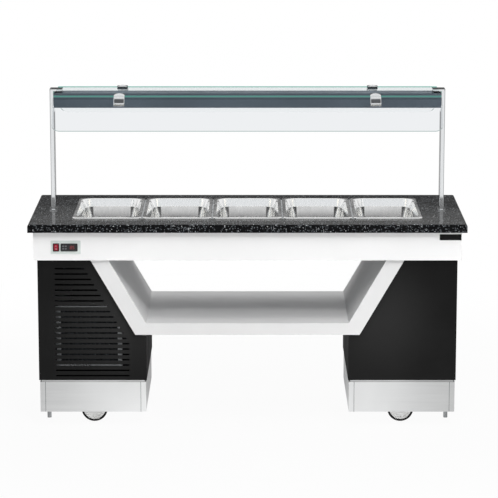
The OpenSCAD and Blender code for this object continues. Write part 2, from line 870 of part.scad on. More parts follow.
// Sloping sheet boxes, open at the mitre and under the counter
module shelf_cheeks() {
    y = frame_d / 2;
    low = shelf_z - shelf_t;
    high = fascia_z0 + shelf_t;
    color(white_coat) for (s = [-1, 1]) side(s) difference() {
        along_y(-y, y) polygon([
            [cheek_outer(shelf_z), shelf_z], [cheek_outer(fascia_z0), fascia_z0],
            [cheek_inner(fascia_z0), fascia_z0], [cheek_inner(shelf_z1), shelf_z1]
        ]);
        along_y(-y + frame_t, y - frame_t) polygon([
            [cheek_outer(low) - sheet_shift, low], [cheek_outer(high) - sheet_shift, high],
            [cheek_inner(high) + sheet_shift, high], [cheek_inner(low) + sheet_shift, low]
        ]);
    }
}

// Glass guard

module guard_posts() {
    flange_z1 = counter_h + flange_t;
    r = 3;
    color(bright) for (s = [-1, 1]) translate([s * post_x, 0, 0]) {
        translate([0, 0, counter_h]) linear_extrude(flange_t) rounded(flange_w, flange_d, r);
        translate([0, 0, flange_z1]) linear_extrude(bracket_z0 - flange_z1) difference() {
            rounded(post_w, post_d, r);
            rounded(post_w - 2 * post_t, post_d - 2 * post_t, r / 2);
        }
        for (y = [-1, 1]) translate([0, y * post_stud_y, slab_z0 - stud_reach])
            cylinder(h = slab_t + stud_reach, d = stud_d);
    }
}

module glass_brackets() {
    w = post_w + bracket_reach;
    color(bright) for (s = [-1, 1]) side(s)
        translate([post_x + post_w / 2 - w / 2, 0, bracket_z0]) linear_extrude(bracket_t)
            rounded(w, post_d + 4, 4);
}

module bracket_pads() {
    x0 = post_x - post_w / 2 - bracket_reach;
    y = post_d / 2;
    color(dark) for (s = [-1, 1]) side(s)
        block([x0 + 1, -y, glass_z1], [glass_half_w, y, bracket_z0]);
}

module shelf_glass() {
    color(clear_glass) translate([0, 0, glass_z0]) linear_extrude(glass_t)
        rounded(2 * glass_half_w, glass_d, glass_corner_r);
}

// Extruded hood that carries the glass, open below above two lips
module canopy_housing() {
    d = canopy_d - 2 * canopy_t;
    color(slate) along_x(-canopy_half_w, canopy_half_w) difference() {
        translate([-canopy_d / 2, canopy_z0]) square([canopy_d, canopy_h]);
        translate([-d / 2, canopy_z0 + canopy_t]) square([d, canopy_h - 2 * canopy_t]);
        translate([-d / 2 + canopy_lip, canopy_z0 - 1])
            square([d - 2 * canopy_lip, canopy_t + 2]);
    }
}

module light_diffuser() {
    y = canopy_d / 2 - canopy_t - side_gap;
    z = canopy_z0 + canopy_t;
    color("#f4f1e8") block([-canopy_half_w, -y, z], [canopy_half_w, y, z + diffuser_t]);
}

// Clamp on the edge of the shelf glass, with the two outer knuckles of a hinge
module hinge_base() {
    y1 = -glass_d / 2 + hinge_plate_l;
    z0 = glass_z0 - hinge_plate_t;
    z1 = glass_z1 + hinge_plate_t;
    difference() {
        union() {
            along_x(-hinge_w / 2, hinge_w / 2) difference() {
                translate([hinge_edge_y, z0]) square([y1 - hinge_edge_y, z1 - z0]);
                translate([-glass_d / 2 - side_gap, glass_z0])
                    square([y1 + glass_d / 2 + side_gap + 1, glass_t]);
            }
            for (s = [-1, 1]) side(s) {
                translate([0, hinge_y, hinge_z]) x_bar(barrel_d / 2, knuckle_w / 2 + side_gap, hinge_w / 2);
                block([knuckle_w / 2 + side_gap, hinge_y, hinge_z - barrel_d / 2],
                      [hinge_w / 2, hinge_edge_y, hinge_z + barrel_d / 2]);
            }
        }
        translate([0, hinge_y, hinge_z]) x_bar(pin_d / 2 + run_gap, -hinge_w, hinge_w);
    }
}

module hinge_bases() {
    color(bright) for (f = [-1, 1], s = [-1, 1]) front_or_rear(f)
        translate([s * hinge_x, 0, 0]) hinge_base();
}

// Turns its children from level, pointing to the front, down to a flap's slope
module at_flap() {
    translate([0, hinge_y, hinge_z]) rotate([flap_slope, 0, 0]) children();
}

// Middle knuckle, pin and the clamp plates that hold a flap
module hinge_leaf() {
    n = flap_t / 2 + hinge_plate_t;
    end = flap_start + hinge_plate_l;
    x_bar(barrel_d / 2, -knuckle_w / 2, knuckle_w / 2);
    x_bar(pin_d / 2, -hinge_w / 2, hinge_w / 2);
    block([-knuckle_w / 2, -leaf_start, -barrel_d / 4], [knuckle_w / 2, 0, barrel_d / 4]);
    difference() {
        block([-hinge_w / 2, -end, -n], [hinge_w / 2, -leaf_start, n]);
        block([-hinge_w, -end - 1, -flap_t / 2], [hinge_w, -flap_start, flap_t / 2]);
    }
}

module hinge_leaves() {
    color(bright) at_flap() for (s = [-1, 1]) translate([s * hinge_x, 0, 0]) hinge_leaf();
}

// Glass of one flap, with its lower corners rounded
module flap_glass() {
    r = flap_corner_r;
    w = glass_half_w;
    y0 = -flap_start - side_gap;
    y1 = y0 - flap_l;
    color(clear_glass) at_flap() translate([0, 0, -flap_t / 2]) linear_extrude(flap_t) {
        translate([-w, y1 + r]) square([2 * w, flap_l - r]);
        translate([-w + r, y1]) square([2 * (w - r), flap_l]);
        for (s = [-1, 1]) translate([s * (w - r), y1 + r]) circle(r);
    }
}

module front_hinge_leaves() { front_or_rear(-1) hinge_leaves(); }
module rear_hinge_leaves() { front_or_rear(1) hinge_leaves(); }
module front_flap() { front_or_rear(-1) flap_glass(); }
module rear_flap() { front_or_rear(1) flap_glass(); }

// Controls

module control_plate() {
    color("#dfe6e3") difference() {
        translate([plate_x0 + plate_w / 2, 0, plate_z]) along_y(plate_y, fascia_y)
            rounded(plate_w, plate_h, 3);
        switch_cutout(plate_y - 1, fascia_y + 1);
        controller_cutout(plate_y - 1, fascia_y + 1);
    }
}

module controller() {
    w = controller_w / 2;
    h = controller_h / 2;
    lip = controller_lip;
    color("#3a3a3a") translate([plate_x0 + controller_x, 0, plate_z]) {
        along_y(plate_y - controller_bezel_t, plate_y) rounded(2 * w, 2 * h, 4);
        block([-w + lip, plate_y, -h + lip], [w - lip, plate_y + controller_depth, h - lip]);
    }
}

// Bezel and box of the switch, with the bores for the rocker's pivots
module switch_frame() {
    w = switch_body_w / 2;
    h = switch_body_h / 2;
    t = switch_wall;
    color(dark) translate([plate_x0 + switch_x, 0, plate_z]) difference() {
        union() {
            along_y(plate_y - switch_bezel_t, plate_y)
                rounded(2 * (w + switch_lip), 2 * (h + switch_lip), 2);
            block([-w, plate_y, -h], [w, plate_y + switch_depth, h]);
        }
        block([-w + t, plate_y - switch_bezel_t - 1, -h + t],
              [w - t, plate_y + switch_depth - t, h - t]);
        translate([0, plate_y, 0]) x_bar(rocker_pin_d / 2 + run_gap, -w - 1, w + 1);
    }
}

// Rocker with a bowed face, tipped to its resting side
module switch_rocker() {
    w = rocker_w / 2;
    h = rocker_h / 2;
    bow = (h * h + rocker_crown * rocker_crown) / (2 * rocker_crown);
    face = switch_bezel_t + rocker_crown;
    color("#a3122f") translate([plate_x0 + switch_x, plate_y, plate_z]) rotate([rocker_tilt, 0, 0]) {
        along_x(-w, w) intersection() {
            translate([-face, -h]) square([face + rocker_back, 2 * h]);
            translate([-face + bow, 0]) circle(bow);
        }
        x_bar(rocker_pin_d / 2, -w - rocker_room - switch_wall, w + rocker_room + switch_wall);
    }
}

module badge_plate() {
    x1 = fascia_w / 2 - badge_side;
    z1 = slab_z0 - badge_drop;
    color(dark) block([x1 - badge_w, fascia_y - badge_t, z1 - badge_h], [x1, fascia_y, z1]);
}

// Vent and electrics in the left pedestal

// Frame held by two brackets on the shell's outer side, with a filter pad in front of the fan
module filter_frame() {
    b = vent_bar;
    color(steel) side(-1) {
        along_y(vent_y0, vent_y1) difference() {
            polygon([
                [vent_x0, vent_z0], [vent_x1, vent_z0], [vent_x1, vent_z1],
                [vent_x0 + vent_cut_h * tan(cheek_slope), vent_z1], [vent_x0, vent_z1 - vent_cut_h]
            ]);
            translate([vent_x0 + b, vent_z0 + b]) square([vent_w - 2 * b, vent_h - 2 * b]);
        }
        block([vent_x0 + b, filter_y0, vent_z0 + b], [vent_x1 - b, filter_y0 + filter_t, vent_z1 - b]);
        for (z = [vent_z0, vent_z1 - b])
            block([vent_x1, vent_y0, z], [ped_x1 - shell_t, vent_y1, z + b]);
    }
}

module fan_housing() {
    h = fan_size / 2;
    color(dark) side(-1) translate([fan_x, 0, fan_z]) difference() {
        union() {
            difference() {
                block([-h, vent_y1, -h], [h, fan_y1, h]);
                y_bar(fan_bore_r, vent_y1 - 1, fan_y1 + 1);
            }
            y_bar(fan_motor_r, fan_y1 - fan_motor_l, fan_y1);
            for (a = [45, 135]) rotate([0, a, 0])
                block([-fan_bore_r - 2, fan_y1 - 8, -5], [fan_bore_r + 2, fan_y1, 5]);
        }
        y_bar(fan_shaft_d / 2 + run_gap, fan_y1 - fan_motor_l - 1, fan_y1 - 3);
    }
}

module fan_rotor() {
    y1 = fan_y1 - fan_motor_l - side_gap;
    y0 = y1 - fan_hub_l;
    tip = fan_bore_r - fan_tip_gap;
    color("#4a4d50") side(-1) translate([fan_x, 0, fan_z]) {
        y_bar(fan_hub_r, y0, y1);
        y_bar(fan_shaft_d / 2, y1 - 1, fan_y1 - 4);
        for (k = [0:fan_blades - 1])
            rotate([0, k * 360 / fan_blades, 0]) translate([0, (y0 + y1) / 2, 0]) rotate([fan_pitch, 0, 0])
                block([fan_hub_r - 6, -fan_blade_w / 2, -fan_blade_t / 2],
                      [tip - 2, fan_blade_w / 2, fan_blade_t / 2]);
    }
}

// Box on the outer side of the left pedestal, open towards the wall that closes it
module control_box() {
    x1 = ped_x1 - shell_t;
    t = box_t;
    color("#b9bcbd") side(-1) difference() {
        block([x1 - box_w, box_y0, box_z0], [x1, box_y0 + box_d, box_z0 + box_h]);
        block([x1 - box_w + t, box_y0 + t, box_z0 + t],
              [x1 + 1, box_y0 + box_d - t, box_z0 + box_h - t]);
    }
}

module cable_gland() {
    inner = ped_y - panel_t - gland_nut_t;
    outer = ped_y + gland_nut_t;
    color(dark) side(-1) translate([gland_x, 0, gland_z]) difference() {
        union() {
            y_bar(gland_r, inner, outer + gland_dome_l);
            for (y = [inner, ped_y]) translate([0, y + gland_nut_t, 0]) rotate([90, 0, 0])
                cylinder(h = gland_nut_t, r = gland_nut_r, $fn = 6);
        }
        y_bar(gland_bore / 2, inner - 1, outer + gland_dome_l + 1);
    }
}

// Pans

pan_profile = concat(
    [[0, rim_z1 - pan_wall], [-pan_draft, shoulder_z],
     [-pan_draft - shoulder_step, shoulder_z - shoulder_step]],
    arc(pan_floor_x, pan_floor_z, pan_fillet, 0, -90, fillet_steps),
    arc(pan_floor_x, pan_floor_z, pan_fillet + pan_wall, -90, 0, fillet_steps),
    [[-pan_draft - shoulder_step + pan_wall, shoulder_z - shoulder_step],
     [-pan_draft + pan_wall, shoulder_z], [pan_wall, rim_z1 - pan_wall]]
);

// One quarter of a pan's wall: a round corner and half of the two sides beside it
module pan_quarter() {
    x = pan_half_w - pan_corner_r;
    y = pan_half_l - pan_corner_r;
    translate([x, y, 0]) rotate_extrude(angle = 90) translate([pan_corner_r, 0]) polygon(pan_profile);
    along_y(0, y) translate([pan_half_w, 0]) polygon(pan_profile);
    along_x(0, x) translate([pan_half_l, 0]) polygon(pan_profile);
}

module pan(k) {
    color(bright) translate([(k - (pan_count + 1) / 2) * pan_pitch, 0, 0]) {
        translate([0, 0, rim_z1 - pan_wall]) linear_extrude(pan_wall) difference() {
            rounded(pan_w, pan_l, rim_corner_r);
            rounded(2 * pan_half_w, 2 * pan_half_l, pan_corner_r);
        }
        translate([0, 0, counter_h]) linear_extrude(pan_lip_h) difference() {
            rounded(pan_w, pan_l, rim_corner_r);
            rounded(pan_w - 2 * pan_wall, pan_l - 2 * pan_wall, rim_corner_r - pan_wall);
        }
        for (x = [0, 1], y = [0, 1]) mirror([x, 0, 0]) mirror([0, y, 0]) pan_quarter();
        translate([0, 0, pan_z0]) linear_extrude(pan_wall)
            rounded(2 * (pan_half_w + pan_floor_x), 2 * (pan_half_l + pan_floor_x),
                    pan_corner_r + pan_floor_x);
    }
}

// Casters and feet

// Draws its children at a caster's swivel, with the wheel trailing towards the middle of the unit
module at_caster(s, f) {
    side(s) translate([caster_x, f * caster_y, 0]) children();
}

module caster_bolt_places() {
    for (x = [-1, 1], y = [-1, 1]) translate([x * bolt_x, y * bolt_y, 0]) children();
}

// Top plate with its bearing race and the headed pin that the fork turns on
module caster_plates() {
    pin_z0 = crown_z0 - side_gap;
    color(steel) for (s = [-1, 1], f = [-1, 1]) at_caster(s, f) {
        difference() {
            translate([0, 0, caster_plate_z0]) linear_extrude(caster_plate_t)
                rounded(caster_plate_w, caster_plate_d, 6);
            translate([0, 0, caster_plate_z0 - 1])
                caster_bolt_places() cylinder(h = caster_plate_t + 2, d = bolt_d + 2 * slip);
        }
        translate([0, 0, race_z0]) cylinder(h = race_h, d = race_d);
        translate([0, 0, pin_z0 - kingpin_head_t]) {
            cylinder(h = race_z0 - pin_z0 + kingpin_head_t, d = kingpin_d);
            cylinder(h = kingpin_head_t, d = kingpin_head_d);
        }
    }
}

// Hexagon bolts under the caster plates and nuts on the posts' studs
module fasteners() {
    head_t = 0.65 * bolt_d;
    color(steel) {
        for (s = [-1, 1], f = [-1, 1]) at_caster(s, f) caster_bolt_places() {
            translate([0, 0, caster_plate_z0 - head_t])
                cylinder(h = head_t, d = 1.85 * bolt_d, $fn = 6);
            translate([0, 0, caster_plate_z0]) cylinder(h = caster_plate_t + base_t + 4, d = bolt_d);
        }
        for (s = [-1, 1], y = [-1, 1]) translate([s * post_x, y * post_stud_y, slab_z0 - nut_t])
            difference() {
                cylinder(h = nut_t, d = nut_d, $fn = 6);
                translate([0, 0, -1]) cylinder(h = nut_t + 2, d = stud_d + slip);
            }
    }
}

// Crown, two legs and the axle
module caster_fork(s, f) {
    color(steel) at_caster(s, f) {
        difference() {
            union() {
                translate([0, 0, crown_z0]) cylinder(h = crown_t, d = race_d);
                block([-trail - axle_boss_r, -fork_y1, crown_z0], [race_d / 4, fork_y1, crown_z1]);
            }
            translate([0, 0, crown_z0 - 1]) cylinder(h = crown_t + 2, d = kingpin_d + 2 * run_gap);
        }
        for (y = [-fork_y1, fork_y0]) along_y(y, y + fork_t) {
            polygon([
                [-trail - axle_boss_r, wheel_r], [-trail + axle_boss_r, wheel_r],
                [race_d / 4, crown_z0], [-trail - axle_boss_r, crown_z0]
            ]);
            translate([-trail, wheel_r]) circle(axle_boss_r);
        }
        translate([-trail, 0, wheel_r]) {
            y_bar(axle_d / 2, -fork_y1, fork_y1);
            for (y = [-fork_y1 - 3, fork_y1]) y_bar(axle_d / 2 + 3, y, y + 3);
        }
    }
}

// Turns a profile of radius and width about the wheel's axle
module on_axle(s, f) {
    at_caster(s, f) translate([-trail, 0, wheel_r]) rotate([90, 0, 0]) rotate_extrude() children();
}

module caster_wheel(s, f) {
    rim_r = wheel_r - tyre_t;
    rim_w = wheel_w - 7;
    hub_r = axle_d / 2 + 8;
    color("#dcdcdc") on_axle(s, f) difference() {
        union() {
            translate([0, -wheel_w / 2]) square([hub_r, wheel_w]);
            translate([0, -wheel_w / 5]) square([rim_r - 4, wheel_w * 2 / 5]);
            translate([rim_r - 9, -rim_w / 2]) square([9, rim_w]);
        }
        translate([-1, -wheel_w]) square([axle_d / 2 + run_gap + 1, 2 * wheel_w]);
    }
}

module caster_tyre(s, f) {
    y = wheel_w / 2 - 2.5;
    c = tyre_t / 5;
    color(dark) on_axle(s, f) polygon([
        [wheel_r - tyre_t, -y], [wheel_r - c, -y], [wheel_r, -y + c],
        [wheel_r, y - c], [wheel_r - c, y], [wheel_r - tyre_t, y]
    ]);
}

// Screw-down foot: a stud in the base plate's nut with a round sleeve at its end
module levelling_foot(s, f) {
    color("#9a9a9a") side(s) translate([foot_x, f * foot_y, foot_lift]) {
        cylinder(h = foot_sleeve_h, d = foot_d);
        cylinder(h = base_z1 + foot_stud_top - foot_lift, d = foot_stud_d);
    }
}

granite_top();
fascia_skirt();
counter_floor();
well_tank();
pan_bars();
heating_element();
temperature_probe();
drain_valve();
drain_lever();
pedestal_shells();
louvre_panel_front();
louvre_panel_rear();
plain_panels();
plinths();
centre_shelf();
shelf_cheeks();
guard_posts();
glass_brackets();
bracket_pads();
shelf_glass();
canopy_housing();
light_diffuser();
hinge_bases();
front_hinge_leaves();
rear_hinge_leaves();
front_flap();
rear_flap();
control_plate();
controller();
switch_frame();
switch_rocker();
badge_plate();
filter_frame();
fan_housing();
fan_rotor();
control_box();
cable_gland();
caster_plates();
fasteners();
pan(1);  // pan_1
pan(2);  // pan_2
pan(3);  // pan_3
pan(4);  // pan_4
pan(5);  // pan_5
caster_fork(-1, -1);  // fork_front_left
caster_fork(1, -1);  // fork_front_right
caster_fork(-1, 1);  // fork_rear_left
caster_fork(1, 1);  // fork_rear_right
caster_wheel(-1, -1);  // wheel_front_left
caster_wheel(1, -1);  // wheel_front_right
caster_wheel(-1, 1);  // wheel_rear_left
caster_wheel(1, 1);  // wheel_rear_right
caster_tyre(-1, -1);  // tyre_front_left
caster_tyre(1, -1);  // tyre_front_right
caster_tyre(-1, 1);  // tyre_rear_left
caster_tyre(1, 1);  // tyre_rear_right
levelling_foot(-1, -1);  // foot_front_left
levelling_foot(1, -1);  // foot_front_right
levelling_foot(-1, 1);  // foot_rear_left
levelling_foot(1, 1);  // foot_rear_right
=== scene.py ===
import json
import math

import bmesh
import bpy
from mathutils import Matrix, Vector
from mathutils.bvhtree import BVHTree


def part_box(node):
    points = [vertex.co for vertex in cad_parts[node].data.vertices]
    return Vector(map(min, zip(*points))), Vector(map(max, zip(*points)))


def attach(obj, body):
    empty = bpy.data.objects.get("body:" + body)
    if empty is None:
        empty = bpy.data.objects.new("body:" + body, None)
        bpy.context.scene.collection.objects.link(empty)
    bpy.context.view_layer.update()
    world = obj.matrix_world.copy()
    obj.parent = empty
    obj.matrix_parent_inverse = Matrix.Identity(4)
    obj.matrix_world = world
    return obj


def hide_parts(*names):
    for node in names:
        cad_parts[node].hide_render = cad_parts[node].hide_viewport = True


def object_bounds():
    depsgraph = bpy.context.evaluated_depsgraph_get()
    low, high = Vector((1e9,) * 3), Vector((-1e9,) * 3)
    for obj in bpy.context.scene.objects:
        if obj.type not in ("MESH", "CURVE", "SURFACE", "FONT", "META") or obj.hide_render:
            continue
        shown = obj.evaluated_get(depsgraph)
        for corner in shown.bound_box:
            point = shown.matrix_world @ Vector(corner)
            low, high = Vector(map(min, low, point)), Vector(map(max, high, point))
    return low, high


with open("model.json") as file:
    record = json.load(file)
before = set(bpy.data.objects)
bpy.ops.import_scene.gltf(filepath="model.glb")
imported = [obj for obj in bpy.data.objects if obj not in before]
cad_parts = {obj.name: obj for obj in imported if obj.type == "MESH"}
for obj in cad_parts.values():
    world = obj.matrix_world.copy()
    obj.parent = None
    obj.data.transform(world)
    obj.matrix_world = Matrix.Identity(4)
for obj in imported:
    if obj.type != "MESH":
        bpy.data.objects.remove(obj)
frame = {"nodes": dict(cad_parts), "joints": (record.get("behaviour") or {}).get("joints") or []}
cadLow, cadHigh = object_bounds()  # the CAD box, before anything is dressed
nodes = frame["nodes"]
scene = bpy.context.scene
scene.view_settings.view_transform = "Standard"


# node tree helpers

def tint(code, share=1.0):
    # "#rrggbb" as a linear colour, or a share of it
    shown = [int(code[k:k + 2], 16) / 255 for k in (1, 3, 5)]
    linear = [c / 12.92 if c <= 0.04045 else ((c + 0.055) / 1.055) ** 2.4 for c in shown]
    return [c * share for c in linear] + [1.0]


def feed(tree, socket, value):
    if isinstance(value, bpy.types.NodeSocket):
        tree.links.new(value, socket)
    else:
        socket.default_value = value


def put(tree, kind, feeds=None, **settings):
    node = tree.nodes.new("ShaderNode" + kind)
    for name, value in settings.items():
        setattr(node, name, value)
    for name, value in (feeds or {}).items():
        feed(tree, node.inputs[name], value)
    return node


def fill(tree, node, values):
    # feeds the inputs of a node in their own order
    for socket, value in zip(node.inputs, values):
        feed(tree, socket, value)
    return node.outputs


def calc(tree, operation, *values):
    # plain arithmetic, kept between 0 and 1
    return fill(tree, put(tree, "Math", operation=operation, use_clamp=True), values)[0]


def product(tree, result, *others):
    for value in others:
        result = calc(tree, "MULTIPLY", result, value)
    return result


def absolute(tree, value):
    return fill(tree, put(tree, "Math", operation="ABSOLUTE"), [value])[0]


def vectorCalc(tree, operation, *values):
    return fill(tree, put(tree, "VectorMath", operation=operation), values)


def splitAxes(tree, vector):
    return put(tree, "SeparateXYZ", {"Vector": vector}).outputs


def blendColour(tree, share, first, second):
    node = put(tree, "Mix", data_type="RGBA")
    feed(tree, node.inputs[0], share)
    feed(tree, node.inputs[6], first)
    feed(tree, node.inputs[7], second)
    return node.outputs[2]


def blendShader(tree, share, first, second):
    node = put(tree, "MixShader")
    fill(tree, node, [share, first.outputs[0], second.outputs[0]])
    return node


def spread(tree, value, fromLow, fromHigh, toLow=0.0, toHigh=1.0):
    node = put(tree, "MapRange", {"Value": value, "From Min": fromLow, "From Max": fromHigh,
                                  "To Min": toLow, "To Max": toHigh}, interpolation_type="SMOOTHSTEP")
    return node.outputs[0]


def noise(tree, vector, scale, detail=2.0, roughness=0.5, distortion=0.0):
    node = put(tree, "TexNoise", {"Vector": vector, "Scale": scale, "Detail": detail,
                                  "Roughness": roughness, "Distortion": distortion})
    return node.outputs[0]


def restPlace(tree):
    # a point of the piece in the frame at rest, so that marks move with their piece
    return put(tree, "TexCoord").outputs["Object"]


def startGroup(name, inputs, outputs):
    tree = bpy.data.node_groups.new(name, "ShaderNodeTree")
    for label, value in inputs.items():
        kind = "NodeSocketFloat" if isinstance(value, float) else "NodeSocketVector"
        tree.interface.new_socket(label, in_out="INPUT", socket_type=kind).default_value = value
    for label in outputs:
        tree.interface.new_socket(label, in_out="OUTPUT", socket_type="NodeSocketFloat")
    return tree, tree.nodes.new("NodeGroupInput").outputs, tree.nodes.new("NodeGroupOutput").inputs


def place(tree, group, **values):
    node = put(tree, "Group", node_tree=group)
    for label, value in values.items():
        feed(tree, node.inputs[label], value)
    return node.outputs


def startMaterial(name, **plainValues):
    material = bpy.data.materials.new(name)
    material.use_nodes = True
    tree = material.node_tree
    shader = tree.nodes["Principled BSDF"]
    for label, value in plainValues.items():
        shader.inputs[label.replace("_", " ")].default_value = value
    return material, tree, shader


# effects that several finishes share

midTones = (0.3, 0.7)  # nearly all values of a noise lie between these
smearTones = (0.35, 0.68)
wornAndLitTurn = (0.995, 0.8)  # how far the two normals agree where the lighter edge starts and where it is full
wornAndLitPatches = {"scale": 90.0, "tones": (0.35, 0.65), "least": 0.25}
dustPatches = {"scale": 40.0, "least": 0.2}


def makeCoatGrain():
    tree, given, result = startGroup("coatGrain", {"Grain": 900.0, "Mottle": 4.0}, ["Height", "Tone"])
    at = restPlace(tree)
    feed(tree, result["Height"], noise(tree, at, given["Grain"], detail=3.0))
    feed(tree, result["Tone"], spread(tree, noise(tree, at, given["Mottle"], detail=4.0), *midTones))
    return tree


def makeHandMarks():
    tree, given, result = startGroup("handMarks", {"Spread": 6.0, "Low": 0.2, "High": 0.4}, ["Roughness"])
    smear = noise(tree, restPlace(tree), given["Spread"], detail=6.0, roughness=0.6, distortion=0.5)
    feed(tree, result["Roughness"], spread(tree, smear, *smearTones, given["Low"], given["High"]))
    return tree


def makeWornAndLitEdges():
    # edges turn lighter where the rounded normal leaves the flat one, in patches: partly scuffs, partly a
    # painted edge highlight
    tree, given, result = startGroup("wornAndLitEdges", {"Width": 0.002, "Amount": 0.5}, ["Mask"])
    rounded = put(tree, "Bevel", {"Radius": given["Width"]}, samples=6).outputs[0]
    flat = put(tree, "NewGeometry").outputs["Normal"]
    # the edge mask: lighter edges, partly scuffs and partly a painted edge highlight
    edge = spread(tree, vectorCalc(tree, "DOT_PRODUCT", rounded, flat)["Value"], *wornAndLitTurn)
    patchy = spread(tree, noise(tree, restPlace(tree), wornAndLitPatches["scale"], detail=5.0),
                    *wornAndLitPatches["tones"], wornAndLitPatches["least"])
    feed(tree, result["Mask"], product(tree, edge, patchy, given["Amount"]))
    return tree


def makeBrushLines():
    # Stretch has a low number along the lines and high ones across them
    tree, given, result = startGroup("brushLines", {"Stretch": (4.0, 700.0, 700.0)}, ["Height", "Tone"])
    scaled = vectorCalc(tree, "MULTIPLY", restPlace(tree), given["Stretch"])["Vector"]
    lines = noise(tree, scaled, 1.0, detail=4.0, roughness=0.65)
    feed(tree, result["Height"], lines)
    feed(tree, result["Tone"], spread(tree, lines, *midTones))
    return tree


def makeFloorDust():
    # dust that thins out with height above the floor
    tree, given, result = startGroup("floorDust", {"Reach": 0.15, "Amount": 0.4}, ["Mask"])
    at = restPlace(tree)
    low = calc(tree, "SUBTRACT", 1.0, calc(tree, "DIVIDE", splitAxes(tree, at)["Z"], given["Reach"]))
    patchy = spread(tree, noise(tree, at, dustPatches["scale"], detail=6.0), *midTones, dustPatches["least"])
    feed(tree, result["Mask"], product(tree, low, patchy, given["Amount"]))
    return tree


def makePaintedHighlight():
    # painted highlight: a brighter area round the same spot on both halves of the unit
    start = {"Centre": (0.6, 0.0, 0.5), "Near": 0.1, "Far": 0.4}
    tree, given, result = startGroup("paintedHighlight", start, ["Mask"])
    at = splitAxes(tree, restPlace(tree))
    flat = put(tree, "CombineXYZ", {"X": absolute(tree, at["X"]), "Z": at["Z"]}).outputs[0]
    away = vectorCalc(tree, "DISTANCE", flat, given["Centre"])["Value"]
    feed(tree, result["Mask"], spread(tree, away, given["Far"], given["Near"]))
    return tree


coatGrain = makeCoatGrain()
handMarks = makeHandMarks()
wornAndLitEdges = makeWornAndLitEdges()
brushLines = makeBrushLines()
floorDust = makeFloorDust()
paintedHighlight = makePaintedHighlight()
print("shared effects ready")


# finishes

dustTint = "#b9b4aa"


def addSmears(tree, shader, look):
    low, high = look["rough"]
    marks = place(tree, handMarks, Spread=look["smear"], Low=low, High=high)
    feed(tree, shader.inputs["Roughness"], marks["Roughness"])


def addBump(tree, shader, strength, depth, height):
    bump = put(tree, "Bump", {"Strength": strength, "Distance": depth, "Height": height})
    feed(tree, shader.inputs["Normal"], bump.outputs[0])


def addLayers(tree, shader, look, pattern, depth):
    # two tones, then lighter edges that are partly scuffs and partly a painted edge highlight, dust, and a
    # painted highlight over them
    colour = blendColour(tree, pattern["Tone"], tint(look["dark"]), tint(look["light"]))
    wornAndLit = place(tree, wornAndLitEdges, Width=look["edge"], Amount=look["wearAndLight"])
    colour = blendColour(tree, wornAndLit["Mask"], colour, tint(look["wornAndLitTint"]))
    if look.get("dust"):
        dust = place(tree, floorDust, Reach=look["dust"], Amount=look["dusty"])
        colour = blendColour(tree, dust["Mask"], colour, tint(dustTint))
    # painted highlight: a brighter patch mixed into the colour
    if "highlightTint" in look:
        soft = place(tree, paintedHighlight, Centre=look["highlightAt"], Near=look["highlightNear"], Far=look["highlightFar"])
        colour = blendColour(tree, soft["Mask"], colour, tint(look["highlightTint"]))
    feed(tree, shader.inputs["Base Color"], colour)
    addSmears(tree, shader, look)
    addBump(tree, shader, look["bump"], depth, pattern["Height"])


# powder coats, paints, plastics, rubber and fibre: two close tones, a fine grain and lighter edges, partly
# scuffs and partly a painted edge highlight; the black panels and shells also carry a painted highlight
coatDepth = 0.00008
fasciaCoat = {"dark": "#f0f0f0", "light": "#f6f6f6", "wornAndLitTint": "#ffffff",
              "wearAndLight": 0.4, "edge": 0.0015, "shine": 0.4, "rough": (0.34, 0.44),
              "grain": 750.0, "mottle": 1.6, "bump": 0.25, "smear": 4.0}
# painted shade: the fascia's white coat, made darker for the shelf and its cheeks
shelfCoat = dict(fasciaCoat, dark="#e0e0e0", light="#e8e8e8", wornAndLitTint="#f3f3f3")
blackCoat = {"dark": "#0f0f0f", "light": "#171717", "wornAndLitTint": "#3c3c3c",
             "wearAndLight": 0.5, "edge": 0.0015, "shine": 0.15, "rough": (0.4, 0.52),
             "grain": 900.0, "mottle": 2.6, "bump": 0.4, "smear": 3.0,
             # painted highlight on the black panels, brightest round one spot on each side
             "highlightTint": "#272727", "highlightAt": (0.63, 0.0, 0.52), "highlightNear": 0.0, "highlightFar": 0.34}
shellCoat = dict(blackCoat, shine=0.06, rough=(0.55, 0.65), highlightTint="#1c1c1c")
slatePaint = {"dark": "#4a525a", "light": "#525b64", "wornAndLitTint": "#6d767e",
              "wearAndLight": 0.5, "edge": 0.0015, "shine": 0.3, "rough": (0.4, 0.5),
              "grain": 1000.0, "mottle": 2.5, "bump": 0.25, "smear": 5.0}
boxPaint = dict(slatePaint, dark="#adb1b2", light="#bcc0c1", wornAndLitTint="#d8dadb")
plateCoat = {"dark": "#ccd4d1", "light": "#d8dfdc", "wornAndLitTint": "#f5f7f6",
             "wearAndLight": 0.5, "edge": 0.0008, "shine": 0.4, "rough": (0.3, 0.42),
             "grain": 2200.0, "mottle": 20.0, "bump": 0.2, "smear": 25.0}
blackMoulding = {"dark": "#1a1a1b", "light": "#252627", "wornAndLitTint": "#4c4d4e",
                 "wearAndLight": 0.6, "edge": 0.0008, "shine": 0.3, "rough": (0.32, 0.5),
                 "grain": 2600.0, "mottle": 18.0, "bump": 0.5, "smear": 22.0}
platePlastic = dict(blackMoulding, dark="#0c0c0d", light="#131314", shine=0.15)
lensPlastic = dict(blackMoulding, dark="#242425", light="#2c2c2d", bump=0.05, rough=(0.08, 0.2))
keyPlastic = dict(blackMoulding, dark="#565859", light="#66686a", wornAndLitTint="#8c8e90")
markPaint = dict(blackMoulding, dark="#d8b8bc", light="#ecd6d8", wornAndLitTint="#f6eeee")
filterFibre = {"dark": "#26282a", "light": "#3a3d40", "wornAndLitTint": "#55595c",
               "wearAndLight": 0.4, "edge": 0.001, "shine": 0.1, "rough": (0.85, 0.95),
               "grain": 420.0, "mottle": 45.0, "bump": 1.0, "smear": 40.0}
